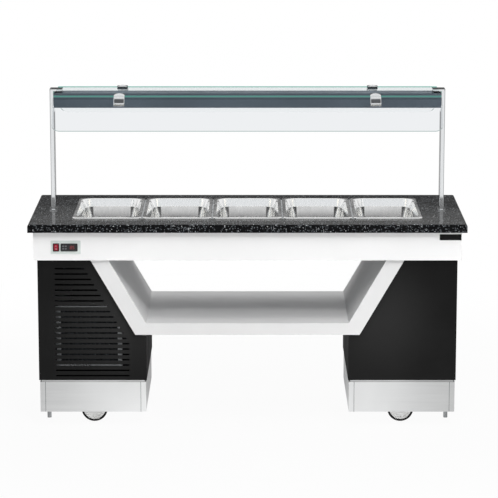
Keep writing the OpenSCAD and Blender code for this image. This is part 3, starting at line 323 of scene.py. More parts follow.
wheelNylon = {"dark": "#f8f8f6", "light": "#fefefd", "wornAndLitTint": "#fafaf8",
              "wearAndLight": 0.4, "edge": 0.001, "shine": 0.4, "rough": (0.4, 0.55),
              "grain": 1500.0, "mottle": 22.0, "bump": 0.4, "smear": 18.0}
leverDip = {"dark": "#8f0f27", "light": "#a81a34", "wornAndLitTint": "#c8485c",
            "wearAndLight": 0.5, "edge": 0.001, "shine": 0.5, "rough": (0.35, 0.5),
            "grain": 1300.0, "mottle": 30.0, "bump": 0.4, "smear": 30.0}
tyreRubber = {"dark": "#060606", "light": "#0c0c0c", "wornAndLitTint": "#222120",
              "wearAndLight": 0.4, "edge": 0.002, "shine": 0.2, "rough": (0.62, 0.8),
              "grain": 700.0, "mottle": 30.0, "bump": 0.9, "smear": 30.0, "dust": 0.02, "dusty": 0.05}
padRubber = dict(tyreRubber, wearAndLight=0.3, bump=0.5, dust=0)
seamSealant = dict(padRubber, dark="#6c6e70", light="#7c7e80", wornAndLitTint="#909294")
clampGrip = dict(padRubber, dark="#3c3e40", light="#4c4e50", wornAndLitTint="#6a6c6e")


def coatedFinish(name, look):
    material, tree, shader = startMaterial(name, Specular_IOR_Level=look["shine"])
    grain = place(tree, coatGrain, Grain=look["grain"], Mottle=look["mottle"])
    addLayers(tree, shader, look, grain, coatDepth)
    return material


# bare and plated metals: brushed or cast lines, smears and brighter edges, partly scuffs and partly a
# painted edge highlight; the plinths also carry a painted highlight
metalDepth = 0.00005
metalEdgesAndDust = {"wearAndLight": 0.7, "dusty": 0.25}
panSteel = {"dark": "#eaebeb", "light": "#f2f2f2", "wornAndLitTint": "#fcfcfc", "edge": 0.0012, "bump": 0.01,
            "stretch": (160.0, 160.0, 6.0), "smear": 9.0, "rough": (0.12, 0.18)}
plinthSteel = {"dark": "#e2e3e3", "light": "#e9eaea", "wornAndLitTint": "#f6f6f6", "edge": 0.0012, "bump": 0.1,
               "stretch": (1.5, 3.0, 40.0), "smear": 3.0, "rough": (0.36, 0.5),
               # painted highlight on the plinths, brighter towards the middle of the unit
               "highlightTint": "#f4f5f5", "highlightAt": (0.5, 0.0, 0.11), "highlightNear": 0.05, "highlightFar": 0.42}
sheetSteel = {"dark": "#a9acae", "light": "#c2c5c7", "wornAndLitTint": "#e2e3e4", "edge": 0.0012, "bump": 0.3,
              "stretch": (8.0, 600.0, 600.0), "smear": 7.0, "rough": (0.24, 0.38)}
# painted light: a lighter copy of the sheet steel, so the deep, shaded well reads brighter
tankSteel = dict(sheetSteel, dark="#d6d8d9", light="#e4e5e6", rough=(0.3, 0.42))
chromePlate = {"dark": "#dcdee0", "light": "#e6e8e9", "wornAndLitTint": "#f6f7f7", "edge": 0.001, "bump": 0.02,
               "stretch": (900.0, 900.0, 12.0), "smear": 12.0, "rough": (0.05, 0.11)}
zincPlate = {"dark": "#94979a", "light": "#aeb1b4", "wornAndLitTint": "#d4d5d6", "edge": 0.001, "bump": 0.25,
             "stretch": (260.0, 260.0, 260.0), "smear": 30.0, "rough": (0.28, 0.42), "dust": 0.12}
brassCast = {"dark": "#a98d45", "light": "#c2a65c", "wornAndLitTint": "#e6d08c", "edge": 0.0012, "bump": 0.5,
             "stretch": (320.0, 320.0, 320.0), "smear": 40.0, "rough": (0.28, 0.42)}


def metalFinish(name, look):
    material, tree, shader = startMaterial(name, Metallic=1.0)
    lines = place(tree, brushLines, Stretch=look["stretch"])
    addLayers(tree, shader, dict(metalEdgesAndDust, **look), lines, metalDepth)
    return material


# black stone: a mottled ground, a painted reflection on the top, small grey flecks, and a few large pale
# crystals
slabStone = {"ground": "#040405", "cloud": "#0e0f11", "cloudScale": 70.0, "cloudTones": (0.35, 0.7),
             "fleck": "#74787c", "fleckCell": 0.005, "fleckReach": 0.62, "fleckShare": 0.8,
             "crystal": "#d6d8da", "crystalCell": 0.008, "crystalReach": 0.3, "crystalShare": 0.87,
             "solidShare": 0.55, "raggedScale": 420.0, "raggedBy": 0.0045,
             # painted reflection on the top, lighter towards the front
             "reflectionTint": "#4a4a4a", "reflectionFrom": 0.25, "reflectionTo": -0.34, "reflectionLines": (3.0, 90.0, 90.0),
             "reflectionRange": (0.7, 0.95), "topTurn": (0.7, 0.98), "shine": 0.06, "rough": (0.08, 0.14),
             "smear": 5.0, "rippleScale": 45.0, "ripple": 0.08, "rippleDepth": 0.0002}


def stoneFinish(name, look):
    material, tree, shader = startMaterial(name, Specular_IOR_Level=look["shine"])
    at = restPlace(tree)
    wander = put(tree, "TexNoise", {"Vector": at, "Scale": look["raggedScale"], "Detail": 3.0})
    ragged = vectorCalc(tree, "MULTIPLY_ADD", wander.outputs["Color"], [look["raggedBy"]] * 3, at)["Vector"]
    cloudy = spread(tree, noise(tree, at, look["cloudScale"], detail=6.0), *look["cloudTones"])
    colour = blendColour(tree, cloudy, tint(look["ground"]), tint(look["cloud"]))
    # painted reflection: the top is lighter towards the front, in streaks
    facing = splitAxes(tree, put(tree, "NewGeometry").outputs["Normal"])
    top = spread(tree, facing["Z"], *look["topTurn"])
    front = spread(tree, splitAxes(tree, at)["Y"], look["reflectionFrom"], look["reflectionTo"])
    streaks = place(tree, brushLines, Stretch=look["reflectionLines"])["Tone"]
    paintedReflection = product(tree, top, front, spread(tree, streaks, 0.0, 1.0, *look["reflectionRange"]))
    colour = blendColour(tree, paintedReflection, colour, tint(look["reflectionTint"]))
    for grain in ("fleck", "crystal"):
        cells = put(tree, "TexVoronoi", {"Vector": ragged, "Scale": 1 / look[grain + "Cell"]}).outputs
        reach = look[grain + "Reach"]
        near = spread(tree, cells["Distance"], reach, reach * look["solidShare"])
        draw = put(tree, "SeparateColor", {"Color": cells["Color"]}).outputs[0]
        chosen = calc(tree, "GREATER_THAN", draw, look[grain + "Share"])
        colour = blendColour(tree, product(tree, near, chosen, draw), colour, tint(look[grain]))
    feed(tree, shader.inputs["Base Color"], colour)
    addSmears(tree, shader, look)
    addBump(tree, shader, look["ripple"], look["rippleDepth"], noise(tree, at, look["rippleScale"]))
    return material


# glass: nearly clear faces, green at the edges, and a painted glow on the edges' outer faces for light led
# along the pane
paneGlass = {"clear": "#f0f3f4", "edge": "#529e8c", "piped": "#588c84", "shadow": "#f3f5f5", "bend": 1.012,
             "rough": (0.0, 0.004), "smear": 8.0, "edgeTurn": (0.9, 0.4), "hiddenTurn": (0.9, 0.5)}
flapGlass = dict(paneGlass, clear="#eef0f2", edge="#7a918d", piped="#202424")
rearFlapGlass = dict(flapGlass, clear="#fbfcfc")


def glassFinish(name, look, across, hiddenEdge):
    material, tree, shader = startMaterial(name, Transmission_Weight=1.0, IOR=look["bend"],
                                           Emission_Strength=1.0)
    facing = put(tree, "TexCoord").outputs["Normal"]
    onFace = absolute(tree, vectorCalc(tree, "DOT_PRODUCT", facing, across)["Value"])
    onHidden = vectorCalc(tree, "DOT_PRODUCT", facing, hiddenEdge)["Value"]
    cut = product(tree, spread(tree, onFace, *look["edgeTurn"]), spread(tree, onHidden, *look["hiddenTurn"]))
    feed(tree, shader.inputs["Base Color"], blendColour(tree, cut, tint(look["clear"]), tint(look["edge"])))
    # painted glow: the outer faces of the green edges emit a little light
    outside = calc(tree, "SUBTRACT", cut, put(tree, "NewGeometry").outputs["Backfacing"])
    piped = blendColour(tree, outside, (0, 0, 0, 1), tint(look["piped"]))
    feed(tree, shader.inputs["Emission Color"], piped)
    addSmears(tree, shader, look)
    # lamps shine through the pane instead of stopping at it
    through = put(tree, "BsdfTransparent", {"Color": tint(look["shadow"])})
    shade = blendShader(tree, put(tree, "LightPath").outputs["Is Shadow Ray"], shader, through)
    feed(tree, tree.nodes["Material Output"].inputs["Surface"], shade.outputs[0])
    return material


# things that glow: the canopy's diffuser, the lit rocker and the display
glowGrain = {"mottleStep": 40, "bodyDim": 0.8, "glowDim": 0.7, "smear": 30.0, "bump": 0.2, "depth": 0.00004}
diffuserGlow = {"body": "#f1eee4", "glow": "#fff9f0", "strength": 1.6, "grain": 500.0, "rough": (0.4, 0.55)}
rockerGlow = {"body": "#8c0e26", "glow": "#a3122f", "strength": 0.12, "grain": 2400.0, "rough": (0.25, 0.36)}
digitGlow = {"body": "#6a1c20", "glow": "#c8323a", "strength": 0.3, "grain": 3000.0, "rough": (0.3, 0.4)}


def glowingFinish(name, ownLook):
    look = dict(glowGrain, **ownLook)
    material, tree, shader = startMaterial(name, Emission_Strength=look["strength"])
    grain = place(tree, coatGrain, Grain=look["grain"], Mottle=look["grain"] / look["mottleStep"])
    for socketName, part in (("Base Color", "body"), ("Emission Color", "glow")):
        dim = tint(look[part], look[part + "Dim"])
        feed(tree, shader.inputs[socketName], blendColour(tree, grain["Tone"], dim, tint(look[part])))
    addSmears(tree, shader, look)
    addBump(tree, shader, look["bump"], look["depth"], grain["Height"])
    return material


flapTilt = math.sqrt(0.5)  # both flaps hang at 45 degrees
black = coatedFinish("blackPowderCoat", blackCoat)
blackPlastic = coatedFinish("blackMoulding", blackMoulding)
steel = metalFinish("brushedSheetSteel", sheetSteel)
panMetal = metalFinish("drawnPanSteel", panSteel)
chrome = metalFinish("chromePlate", chromePlate)
zinc = metalFinish("zincPlatedSteel", zincPlate)
shelfWhite = coatedFinish("whiteShelfCoat", shelfCoat)
nodeFinish = {
    "granite_top": stoneFinish("polishedBlackStone", slabStone),
    "fascia_skirt": coatedFinish("whiteFasciaCoat", fasciaCoat),
    "centre_shelf": shelfWhite, "shelf_cheeks": shelfWhite,
    "plinths": metalFinish("satinPlinthSteel", plinthSteel),
    "pedestal_shells": coatedFinish("blackShellCoat", shellCoat),
    "louvre_panel_front": black, "louvre_panel_rear": black, "plain_panels": black,
    "well_tank": metalFinish("tankSteel", tankSteel),
    "pan_bars": steel, "heating_element": steel, "temperature_probe": steel, "filter_frame": steel,
    "guard_posts": chrome, "glass_brackets": chrome, "hinge_bases": chrome,
    "front_hinge_leaves": chrome, "rear_hinge_leaves": chrome,
    "caster_plates": zinc, "fasteners": zinc, "counter_floor": zinc,
    "shelf_glass": glassFinish("shelfGlass", paneGlass, (0, 0, 1), (0, 0, 1)),
    "front_flap": glassFinish("frontFlapGlass", flapGlass,
                              (0, -flapTilt, flapTilt), (0, flapTilt, flapTilt)),
    "rear_flap": glassFinish("rearFlapGlass", rearFlapGlass,
                             (0, flapTilt, flapTilt), (0, -flapTilt, flapTilt)),
    "bracket_pads": coatedFinish("padRubber", padRubber),
    "canopy_housing": coatedFinish("slatePaint", slatePaint),
    "light_diffuser": glowingFinish("lightDiffuser", diffuserGlow),
    "control_plate": coatedFinish("plateCoat", plateCoat),
    "controller": blackPlastic, "switch_frame": blackPlastic,
    "badge_plate": coatedFinish("platePlastic", platePlastic),
    "fan_housing": blackPlastic, "fan_rotor": blackPlastic, "cable_gland": blackPlastic,
    "switch_rocker": glowingFinish("litRocker", rockerGlow),
    "drain_lever": coatedFinish("redLeverDip", leverDip),
    "drain_valve": metalFinish("castBrass", brassCast),
    "control_box": coatedFinish("greyBoxPaint", boxPaint),
}
casterFinish = {"fork_": zinc, "foot_": zinc, "wheel_": coatedFinish("wheelNylon", wheelNylon),
                "tyre_": coatedFinish("tyreRubber", tyreRubber)}
for name, node in nodes.items():
    finish = nodeFinish.get(name)
    for start, casterMaterial in casterFinish.items():
        finish = casterMaterial if name.startswith(start) else finish
    if finish is None:
        continue  # the pans, which get their own pieces below
    node.data.materials.clear()
    node.data.materials.append(finish)
print("finishes on the frame:", len(bpy.data.materials), "materials")


# mesh helpers

acrossX = Vector((1, 0, 0))
alongY = Vector((0, 1, 0))
upZ = Vector((0, 0, 1))
sunk = 0.0001  # small marks start this far inside the face that they lie on


def addPiece(name, bm, material, body, sharpAngle=32):
    bmesh.ops.recalc_face_normals(bm, faces=bm.faces)
    mesh = bpy.data.meshes.new(name)
    bm.to_mesh(mesh)
    bm.free()
    mesh.shade_smooth()
    mesh.set_sharp_from_angle(angle=math.radians(sharpAngle))
    mesh.materials.append(material)
    piece = bpy.data.objects.new(name, mesh)
    scene.collection.objects.link(piece)
    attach(piece, body)
    return piece


def filletPath(corners, steps=6):
    # a line through (x, z, radius) corners, each rounded by its radius
    path = []
    for k, (x, z, radius) in enumerate(corners):
        here = Vector((x, z))
        if radius == 0:
            path.append(here)
            continue
        before = (Vector(corners[k - 1][:2]) - here).normalized()
        after = (Vector(corners[k + 1][:2]) - here).normalized()
        half = before.angle(after) / 2
        centre = here + (before + after).normalized() * (radius / math.sin(half))
        first = here + before * (radius / math.tan(half)) - centre
        last = here + after * (radius / math.tan(half)) - centre
        for step in range(steps + 1):
            share = step / steps
            path.append(centre + first.slerp(last, share) * radius)
    return path


def roundedOutline(width, height, radius, steps=5):
    outline = []
    for quarter, (su, sv) in enumerate([(1, 1), (-1, 1), (-1, -1), (1, -1)]):
        for step in range(steps + 1):
            a = math.radians(90 * (quarter + step / steps))
            outline.append((su * (width / 2 - radius) + radius * math.cos(a),
                            sv * (height / 2 - radius) + radius * math.sin(a)))
    return outline


def inPlane(at, right, up):
    # turns (u, v, out) of a face into a point; out points away from the face
    out = right.cross(up)
    return lambda u, v, w: at + right * u + up * v + out * w


def addRing(bm, outline, spot, level):
    return [bm.verts.new(spot(u, v, level)) for u, v in outline]


def bridge(bm, rings, closed=False, wrapped=True):
    # walls between neighbouring rings; closed joins the last to the first, wrapped goes all the way round
    for first, second in zip(rings, rings[1:] + (rings[:1] if closed else [])):
        for k in range(len(first) if wrapped else len(first) - 1):
            following = (k + 1) % len(first)
            bm.faces.new((first[k], first[following], second[following], second[k]))


def closeStack(bm, rings):
    bridge(bm, rings)
    bm.faces.new(rings[0])
    bm.faces.new(rings[-1])


def addSolid(bm, outline, spot, low, high):
    # a closed slab between two levels of a face, from its outline of (u, v) points
    closeStack(bm, [addRing(bm, outline, spot, level) for level in (low, high)])


pillowShape = {"rows": 7, "reach": 0.49, "leastCorner": 0.0002}


def addPillow(bm, spot, width, height, radius, edge, crown):
    # a domed pad: rings that shrink towards the middle while they rise
    rings = []
    for row in range(pillowShape["rows"] + 1):
        share = row / pillowShape["rows"]
        inset = share * min(width, height) * pillowShape["reach"]
        level = edge + crown * (1 - (1 - share) ** 2)
        corner = max(radius * (1 - share), pillowShape["leastCorner"])
        rings.append(addRing(bm, roundedOutline(width - 2 * inset, height - 2 * inset, corner), spot, level))
    foot = addRing(bm, roundedOutline(width, height, radius), spot, 0.0)
    closeStack(bm, [foot] + rings)


# the section of a screw: a share of the head's or the socket's radius, and a share of the rise
screwSection = [("head", 1.0, 0.0), ("head", 1.0, 0.45), ("head", 0.8, 0.9),
                ("socket", 1.15, 1.0), ("socket", 1.0, 0.9), ("socket", 0.9, 0.25)]


def addScrew(bm, spot, u, v, look):
    # a low domed head with a hexagon socket
    rings = []
    for part, share, level in screwSection:
        radius = look[part] * share
        outline = []
        for k in range(look["steps"]):
            a = 2 * math.pi * k / look["steps"]
            reach = radius
            if radius <= look["socket"]:
                reach *= math.cos(math.pi / 6) / math.cos((a % (math.pi / 3)) - math.pi / 6)
            outline.append((u + reach * math.cos(a), v + reach * math.sin(a)))
        rings.append(addRing(bm, outline, spot, look["rise"] * level))
    closeStack(bm, rings)


# food pans: thin drawn shells with a rolled rim, a stacking shoulder and a filleted floor

pan = {"count": 5, "wall": 0.001, "flange": 0.014, "rimCorner": 0.014, "rimEdge": 0.0028,
       "mouthEdge": 0.0034, "corner": 0.068, "leastCorner": 0.006, "shoulderDrop": 0.035,
       "shoulderStep": 0.0016, "shoulderEdge": 0.003, "flare": 0.017, "draft": 0.0115,
       "floorFillet": 0.016, "floorRun": 0.03, "cornerSteps": 14, "sharpAngle": 60}


def panCorner(look, inset):
    # the corner radius grows over the flange and shrinks again down the wall
    if inset <= look["flange"]:
        share = max(0.0, inset / look["flange"])
        return look["rimCorner"] + (look["corner"] - look["rimCorner"]) * share
    return max(look["corner"] - (inset - look["flange"]), look["leastCorner"])


def makePan(name, node, look):
    low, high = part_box(node)
    centre = (low + high) / 2
    rimTop, floorTop = high.z, low.z + look["wall"]
    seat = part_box("granite_top")[1].z
    shoulder = rimTop - look["shoulderDrop"]
    wallTop = look["flange"] + look["flare"]
    wallFoot = wallTop + look["shoulderStep"]
    floorStart = wallFoot + look["draft"]
    section = filletPath([
        (0, seat, 0), (0, rimTop, look["rimEdge"]), (look["flange"], rimTop, look["mouthEdge"]),
        (wallTop, shoulder, look["shoulderEdge"]),
        (wallFoot, shoulder - look["shoulderStep"], look["shoulderEdge"]),
        (floorStart, floorTop, look["floorFillet"]),
        (floorStart + look["floorFillet"] + look["floorRun"], floorTop, 0)])
    under = []
    for k, point in enumerate(section):
        ahead = section[min(k + 1, len(section) - 1)] - section[max(k - 1, 0)]
        under.append(point + Vector((ahead.y, -ahead.x)).normalized() * look["wall"])
    spot = inPlane(Vector((centre.x, centre.y, 0)), acrossX, alongY)
    bm = bmesh.new()
    skins = []
    for line in (section, under):
        rings = []
        for inset, level in line:
            outline = roundedOutline(2 * (high.x - centre.x - inset), 2 * (high.y - centre.y - inset),
                                     panCorner(look, inset), look["cornerSteps"])
            rings.append(addRing(bm, outline, spot, level))
        bridge(bm, rings)
        bm.faces.new(rings[-1])
        skins.append(rings)
    bridge(bm, [skins[0][0], skins[1][0]])
    piece = addPiece(name, bm, panMetal, node, sharpAngle=look["sharpAngle"])
    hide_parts(node)


for k in range(1, pan["count"] + 1):
    makePan("foodPan%d" % k, "pan_%d" % k, pan)
print("food pans ready")


# filter pads behind the louvres: pleated fibre in the vent frame, and a flat mat inside the rear louvres

ventFilter = {"bar": 0.02, "frameWidth": 0.3119, "setBack": 0.01, "pleat": 0.0105, "depth": 0.007,
              "valley": 0.0012, "backing": 0.0003, "rim": 0.0006}
rearMat = {"thick": 0.006, "gap": 0.0003, "side": 0.07, "head": 0.03, "foot": 0.011, "innerFoot": 0.075,
           "slope": math.tan(math.radians(30)), "slopeStart": 0.226}
fibre = coatedFinish("filterFibre", filterFibre)


def makeVentFilter(look):
    low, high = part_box("filter_frame")
    inset = look["bar"] + look["rim"]
    left, right = high.x - look["frameWidth"] + inset, high.x - inset
    foot, top = low.z + inset, high.z - inset
    back = high.y - look["setBack"]
    count = 2 * round((right - left) / look["pleat"] / 2)
    crest = [(left + (right - left) * k / count, back - look["depth" if k % 2 else "valley"])
             for k in range(count + 1)]
    outline = crest + [(right, back - look["backing"]), (left, back - look["backing"])]
    spot = inPlane(Vector((0, 0, 0)), acrossX, alongY)
    bm = bmesh.new()
    addSolid(bm, outline, spot, foot, top)
    addPiece("ventFilterPleats", bm, fibre, "unit")


def makeRearMat(look):
    low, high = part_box("louvre_panel_rear")
    outer, inner = low.x + look["side"], high.x - look["innerFoot"]
    top, foot = high.z - look["head"], low.z + look["foot"]
    bend = low.z + look["slopeStart"]
    shift = (top - bend) * look["slope"]
    # a filter mat that also stands in for shade: a dark sheet inside the rear louvres, so no light from
    # behind shows through the front slots
    outline = [(outer, foot), (inner, foot), (inner, bend), (inner - shift, top), (outer, top)]
    spot = inPlane(Vector((0, low.y - look["gap"], 0)), acrossX, upZ)
    bm = bmesh.new()
    addSolid(bm, outline, spot, 0.0, look["thick"])
    addPiece("rearFilterMat", bm, fibre, "unit")


makeVentFilter(ventFilter)
makeRearMat(rearMat)
print("filter pads ready")


# controller: a smoked lens, two lit digits and four soft keys

display = {"lensWidth": 0.072, "lensHeight": 0.029, "lensCorner": 0.003, "lensRise": 0.0006,
           "lensSunk": 0.0002,  # the lens goes a little deeper than what lies on it
           "digits": "85", "digitHeight": 0.0135, "digitWidth": 0.0075, "stroke": 0.0016, "pitch": 0.0115,
           "digitsAt": 0.0145, "lean": 0.12, "lit": 0.00025, "barGap": 0.35,
           "keyWidth": 0.0088, "keyHeight": 0.0066, "keyCorner": 0.0014, "keyRise": 0.0009,
           "keyEdge": 0.6, "keyCrown": 0.5, "keyColumns": (-0.0275, -0.0155), "keyRows": (-0.0062, 0.0062)}
# the lit bars of a digit: a to f run clockwise from the top, and g is the middle one
segmentsOf = {"5": "afgcd", "8": "abcdefg"}


def faceOf(node):
    # the middle of a piece's front, as a plane to lay things on
    low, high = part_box(node)
    middle = (low + high) / 2
    return inPlane(Vector((middle.x, low.y, middle.z)), acrossX, upZ)


def makeLens(look, face):
    bm = bmesh.new()
    outline = roundedOutline(look["lensWidth"], look["lensHeight"], look["lensCorner"])
    addSolid(bm, outline, face, -look["lensSunk"], look["lensRise"])
    addPiece("controllerLens", bm, coatedFinish("smokedLens", lensPlastic), "unit")


def makeDigits(look, face):
    w, h, t = look["digitWidth"] / 2, look["digitHeight"] / 2, look["stroke"] / 2
    level = look["lensRise"]
    # each bar of a digit by its middle, and whether it lies or stands
    bars = {"a": (0, h, True), "g": (0, 0, True), "d": (0, -h, True), "b": (w, h / 2, False),
            "c": (w, -h / 2, False), "e": (-w, -h / 2, False), "f": (-w, h / 2, False)}
    bm = bmesh.new()
    for column, digit in enumerate(look["digits"]):
        start = look["digitsAt"] + (column - (len(look["digits"]) - 1) / 2) * look["pitch"]
        for letter in segmentsOf[digit]:
            u, v, lies = bars[letter]
            end = (w if lies else h / 2) - t * look["barGap"]
            corners = [(-end, 0), (-end + t, -t), (end - t, -t), (end, 0), (end - t, t), (-end + t, t)]
            points = [(u + a, v + b) if lies else (u - b, v + a) for a, b in corners]
            leaning = [(start + a + b * look["lean"], b) for a, b in points]
            addSolid(bm, leaning, face, level - sunk, level + look["lit"])
    addPiece("controllerDigits", bm, glowingFinish("litDigits", digitGlow), "unit")


def makeKeys(look, face):
    bm = bmesh.new()
    for u in look["keyColumns"]:
        for v in look["keyRows"]:
            key = inPlane(face(u, v, look["lensRise"] - sunk), acrossX, upZ)
            addPillow(bm, key, look["keyWidth"], look["keyHeight"], look["keyCorner"],
                      look["keyRise"] * look["keyEdge"], look["keyRise"] * look["keyCrown"])
    addPiece("controllerKeys", bm, coatedFinish("keyPlastic", keyPlastic), "unit")


for makeLayer in (makeLens, makeDigits, makeKeys):
    makeLayer(display, faceOf("controller"))


# rocker marks: a bar at the top and a ring at the bottom, laid on the bowed face

rockerMarks = {"barWidth": 0.0014, "barHeight": 0.006, "barSteps": 6, "ringRadius": 0.003, "stroke": 0.0009,
               "offset": 0.0075, "rise": 0.00018, "steps": 28, "rayStart": 0.02}


def makeRockerMarks(look):
    rocker = nodes["switch_rocker"]
    corners = [rocker.matrix_world @ v.co for v in rocker.data.vertices]
    surface = BVHTree.FromPolygons(corners, [list(p.vertices) for p in rocker.data.polygons])
    low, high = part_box("switch_rocker")
    middle = (low + high) / 2

    def onFace(u, v, lift):
        start = Vector((middle.x + u, low.y - look["rayStart"], middle.z + v))
        return surface.ray_cast(start, alongY)[0] - alongY * lift

    def addBand(bm, inner, outer, wrapped):
        levels = ((inner, -sunk), (inner, look["rise"]), (outer, look["rise"]), (outer, -sunk))
        rows = [addRing(bm, line, onFace, lift) for line, lift in levels]
        bridge(bm, rows, closed=True, wrapped=wrapped)
        if not wrapped:
            for end in (0, -1):
                bm.faces.new([row[end] for row in rows])

    bm = bmesh.new()
    half = look["barHeight"] / 2
    steps = look["barSteps"]
    heights = [look["offset"] - half + look["barHeight"] * k / steps for k in range(steps + 1)]
    left, right = [[(side * look["barWidth"] / 2, v) for v in heights] for side in (-1, 1)]
    addBand(bm, left, right, False)
    turns = [2 * math.pi * k / look["steps"] for k in range(look["steps"])]
    radii = (look["ringRadius"] - look["stroke"], look["ringRadius"])
    inner, outer = [[(r * math.cos(a), -look["offset"] + r * math.sin(a)) for a in turns] for r in radii]
    addBand(bm, inner, outer, True)
    addPiece("rockerMarks", bm, coatedFinish("markPaint", markPaint), "rocker")


makeRockerMarks(rockerMarks)


# bare plate on the fascia: a raised rim and two small rivets

plateRim = {"width": 0.0018, "rise": 0.0005, "corner": 0.002, "inset": 0.0008, "rivetAt": 0.0445,
            "rivet": {"head": 0.0016, "rise": 0.0006, "socket": 0.0006, "steps": 18}}


def makePlateRim(look):
    low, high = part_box("badge_plate")
    face = faceOf("badge_plate")
    width, height = high.x - low.x - 2 * look["inset"], high.z - low.z - 2 * look["inset"]
    bm = bmesh.new()
    rings = []
    for inset, level in ((0, -sunk), (0, look["rise"]),
                         (look["width"], look["rise"]), (look["width"], -sunk)):
        outline = roundedOutline(width - 2 * inset, height - 2 * inset, look["corner"])
        rings.append(addRing(bm, outline, face, level))
    bridge(bm, rings, closed=True)
    for side in (-1, 1):
        addScrew(bm, face, side * look["rivetAt"], 0.0, look["rivet"])
    addPiece("barePlateRim", bm, nodes["badge_plate"].data.materials[0], "unit")


makePlateRim(plateRim)
print("display, rocker marks and plate rim ready")


# clamp covers: domed chrome pads, with a socket screw on the shelf and a dark grip on the flaps

clampCover = {"width": 0.046, "shelfLength": 0.034, "corner": 0.003, "edge": 0.0008,
              "crown": 0.003, "hinges": (-0.605, 0.605), "leafFace": 0.007,
              "padAt": 0.0155, "padLength": 0.0105, "gripAt": 0.0318, "gripLength": 0.0215,
              "lipAt": 0.0468, "lipLength": 0.0075, "screwSeat": 0.75, "sharpAngle": 50,
              "screw": {"head": 0.0058, "rise": 0.0026, "socket": 0.0026, "steps": 24}}
hingeAxis = {joint["name"]: Vector(joint["pos_m"]) for joint in frame["joints"] if joint["type"] == "hinge"}
grip = coatedFinish("clampGrip", clampGrip)


def makeClampCovers(look):
    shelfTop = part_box("shelf_glass")[1]
    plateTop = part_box("hinge_bases")[1].z
    sharp = look["sharpAngle"]

    def addCover(bm, spot, length):
        addPillow(bm, spot, look["width"], length, look["corner"], look["edge"], look["crown"])

    for side, word in ((-1, "front"), (1, "rear")):
        hinge = hingeAxis[word + "_flap_hinge"]
        slope = Vector((0, side * flapTilt, -flapTilt))
        outward = Vector((0, side * flapTilt, flapTilt))
        up = -slope if side < 0 else slope
        shelfCovers, flapCovers, grips = bmesh.new(), bmesh.new(), bmesh.new()
        for x in look["hinges"]:
            at = Vector((x, side * (shelfTop.y - look["shelfLength"] / 2), plateTop))
            spot = inPlane(at, acrossX, alongY)
            addCover(shelfCovers, spot, look["shelfLength"])
            screwFoot = spot(0, 0, look["edge"] + look["crown"] * look["screwSeat"])
            addScrew(shelfCovers, inPlane(screwFoot, acrossX, alongY), 0.0, 0.0, look["screw"])
            for bm, part in ((flapCovers, "pad"), (grips, "grip"), (flapCovers, "lip")):
                at = Vector((x, hinge.y, hinge.z)) + slope * look[part + "At"] + outward * look["leafFace"]
                addCover(bm, inPlane(at, acrossX, up), look[part + "Length"])
        addPiece(word + "ShelfClampCovers", shelfCovers, chrome, "unit", sharpAngle=sharp)
        addPiece(word + "FlapClampCovers", flapCovers, chrome, word + "_guard", sharpAngle=sharp)
        addPiece(word + "FlapClampGrips", grips, grip, word + "_guard", sharpAngle=sharp)


makeClampCovers(clampCover)


# seams between the plinths' corner sheets and their front and rear sheets: thin grey beads

plinthSeam = {"fromEnd": 0.025, "width": 0.0022, "rise": 0.0006, "neck": 0.009, "steps": 6,
              "inner": 0.483, "outer": 0.987}


def makePlinthSeams(look):
    low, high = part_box("plinths")
    half = look["width"] / 2
    turns = [math.pi * k / look["steps"] for k in range(look["steps"] + 1)]
    bm = bmesh.new()
    for facing, y in ((-1, low.y), (1, high.y)):
        bead = [(half * math.cos(a), facing * look["rise"] * math.sin(a)) for a in turns]
        for side in (-1, 1):
            for x in (side * (look["inner"] + look["fromEnd"]), side * (look["outer"] - look["fromEnd"])):
                spot = inPlane(Vector((x, y, 0)), acrossX, alongY)
                addSolid(bm, bead, spot, low.z, high.z - look["neck"])
    addPiece("plinthSeams", bm, coatedFinish("seamSealant", seamSealant), "unit")


makePlinthSeams(plinthSeam)


# screws that hold the rear panels and the rear fascia

rearScrews = {"side": 0.012, "rows": (0.06, 0.36, 0.55), "sharpAngle": 40,
              "fasciaRow": 0.5, "fasciaCount": 9, "fasciaSide": 0.05,
              "screw": {"head": 0.0048, "rise": 0.0022, "socket": 0.0021, "steps": 20}}


def makeRearScrews(look):
    acrossRear = Vector((-1, 0, 0))
    bm = bmesh.new()
    low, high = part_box("louvre_panel_rear")
    rear = inPlane(Vector((0, high.y, 0)), acrossRear, upZ)
    for side in (-1, 1):
        for row in look["rows"]:
            addScrew(bm, rear, side * (abs(low.x) - look["side"]), low.z + row, look["screw"])
    addPiece("rearPanelScrews", bm, zinc, "unit", sharpAngle=look["sharpAngle"])

    bm = bmesh.new()
    low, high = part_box("fascia_skirt")
    rear = inPlane(Vector((0, high.y, 0)), acrossRear, upZ)
    reach = high.x - look["fasciaSide"]
    for k in range(look["fasciaCount"]):
        u = -reach + 2 * reach * k / (look["fasciaCount"] - 1)
        addScrew(bm, rear, u, low.z + (high.z - low.z) * look["fasciaRow"], look["screw"])
    addPiece("rearFasciaScrews", bm, zinc, "unit", sharpAngle=look["sharpAngle"])


makeRearScrews(rearScrews)
print("clamp covers and rear screws ready")


# small rounded edges on the clamps, brackets and controls

edgeBevel = {"segments": 3, "fromAngle": 40}
roundedEdges = {"hinge_bases": 0.0009, "front_hinge_leaves": 0.0009, "rear_hinge_leaves": 0.0009,
                "glass_brackets": 0.0012, "control_plate": 0.0005, "controller": 0.0009,
                "switch_frame": 0.0006, "badge_plate": 0.0004}
for name, width in roundedEdges.items():
    bevel = nodes[name].modifiers.new("roundedEdges", "BEVEL")
    bevel.width = width
    bevel.segments = edgeBevel["segments"]
    bevel.limit_method = "ANGLE"
    bevel.angle_limit = math.radians(edgeBevel["fromAngle"])
    bevel.use_clamp_overlap = True

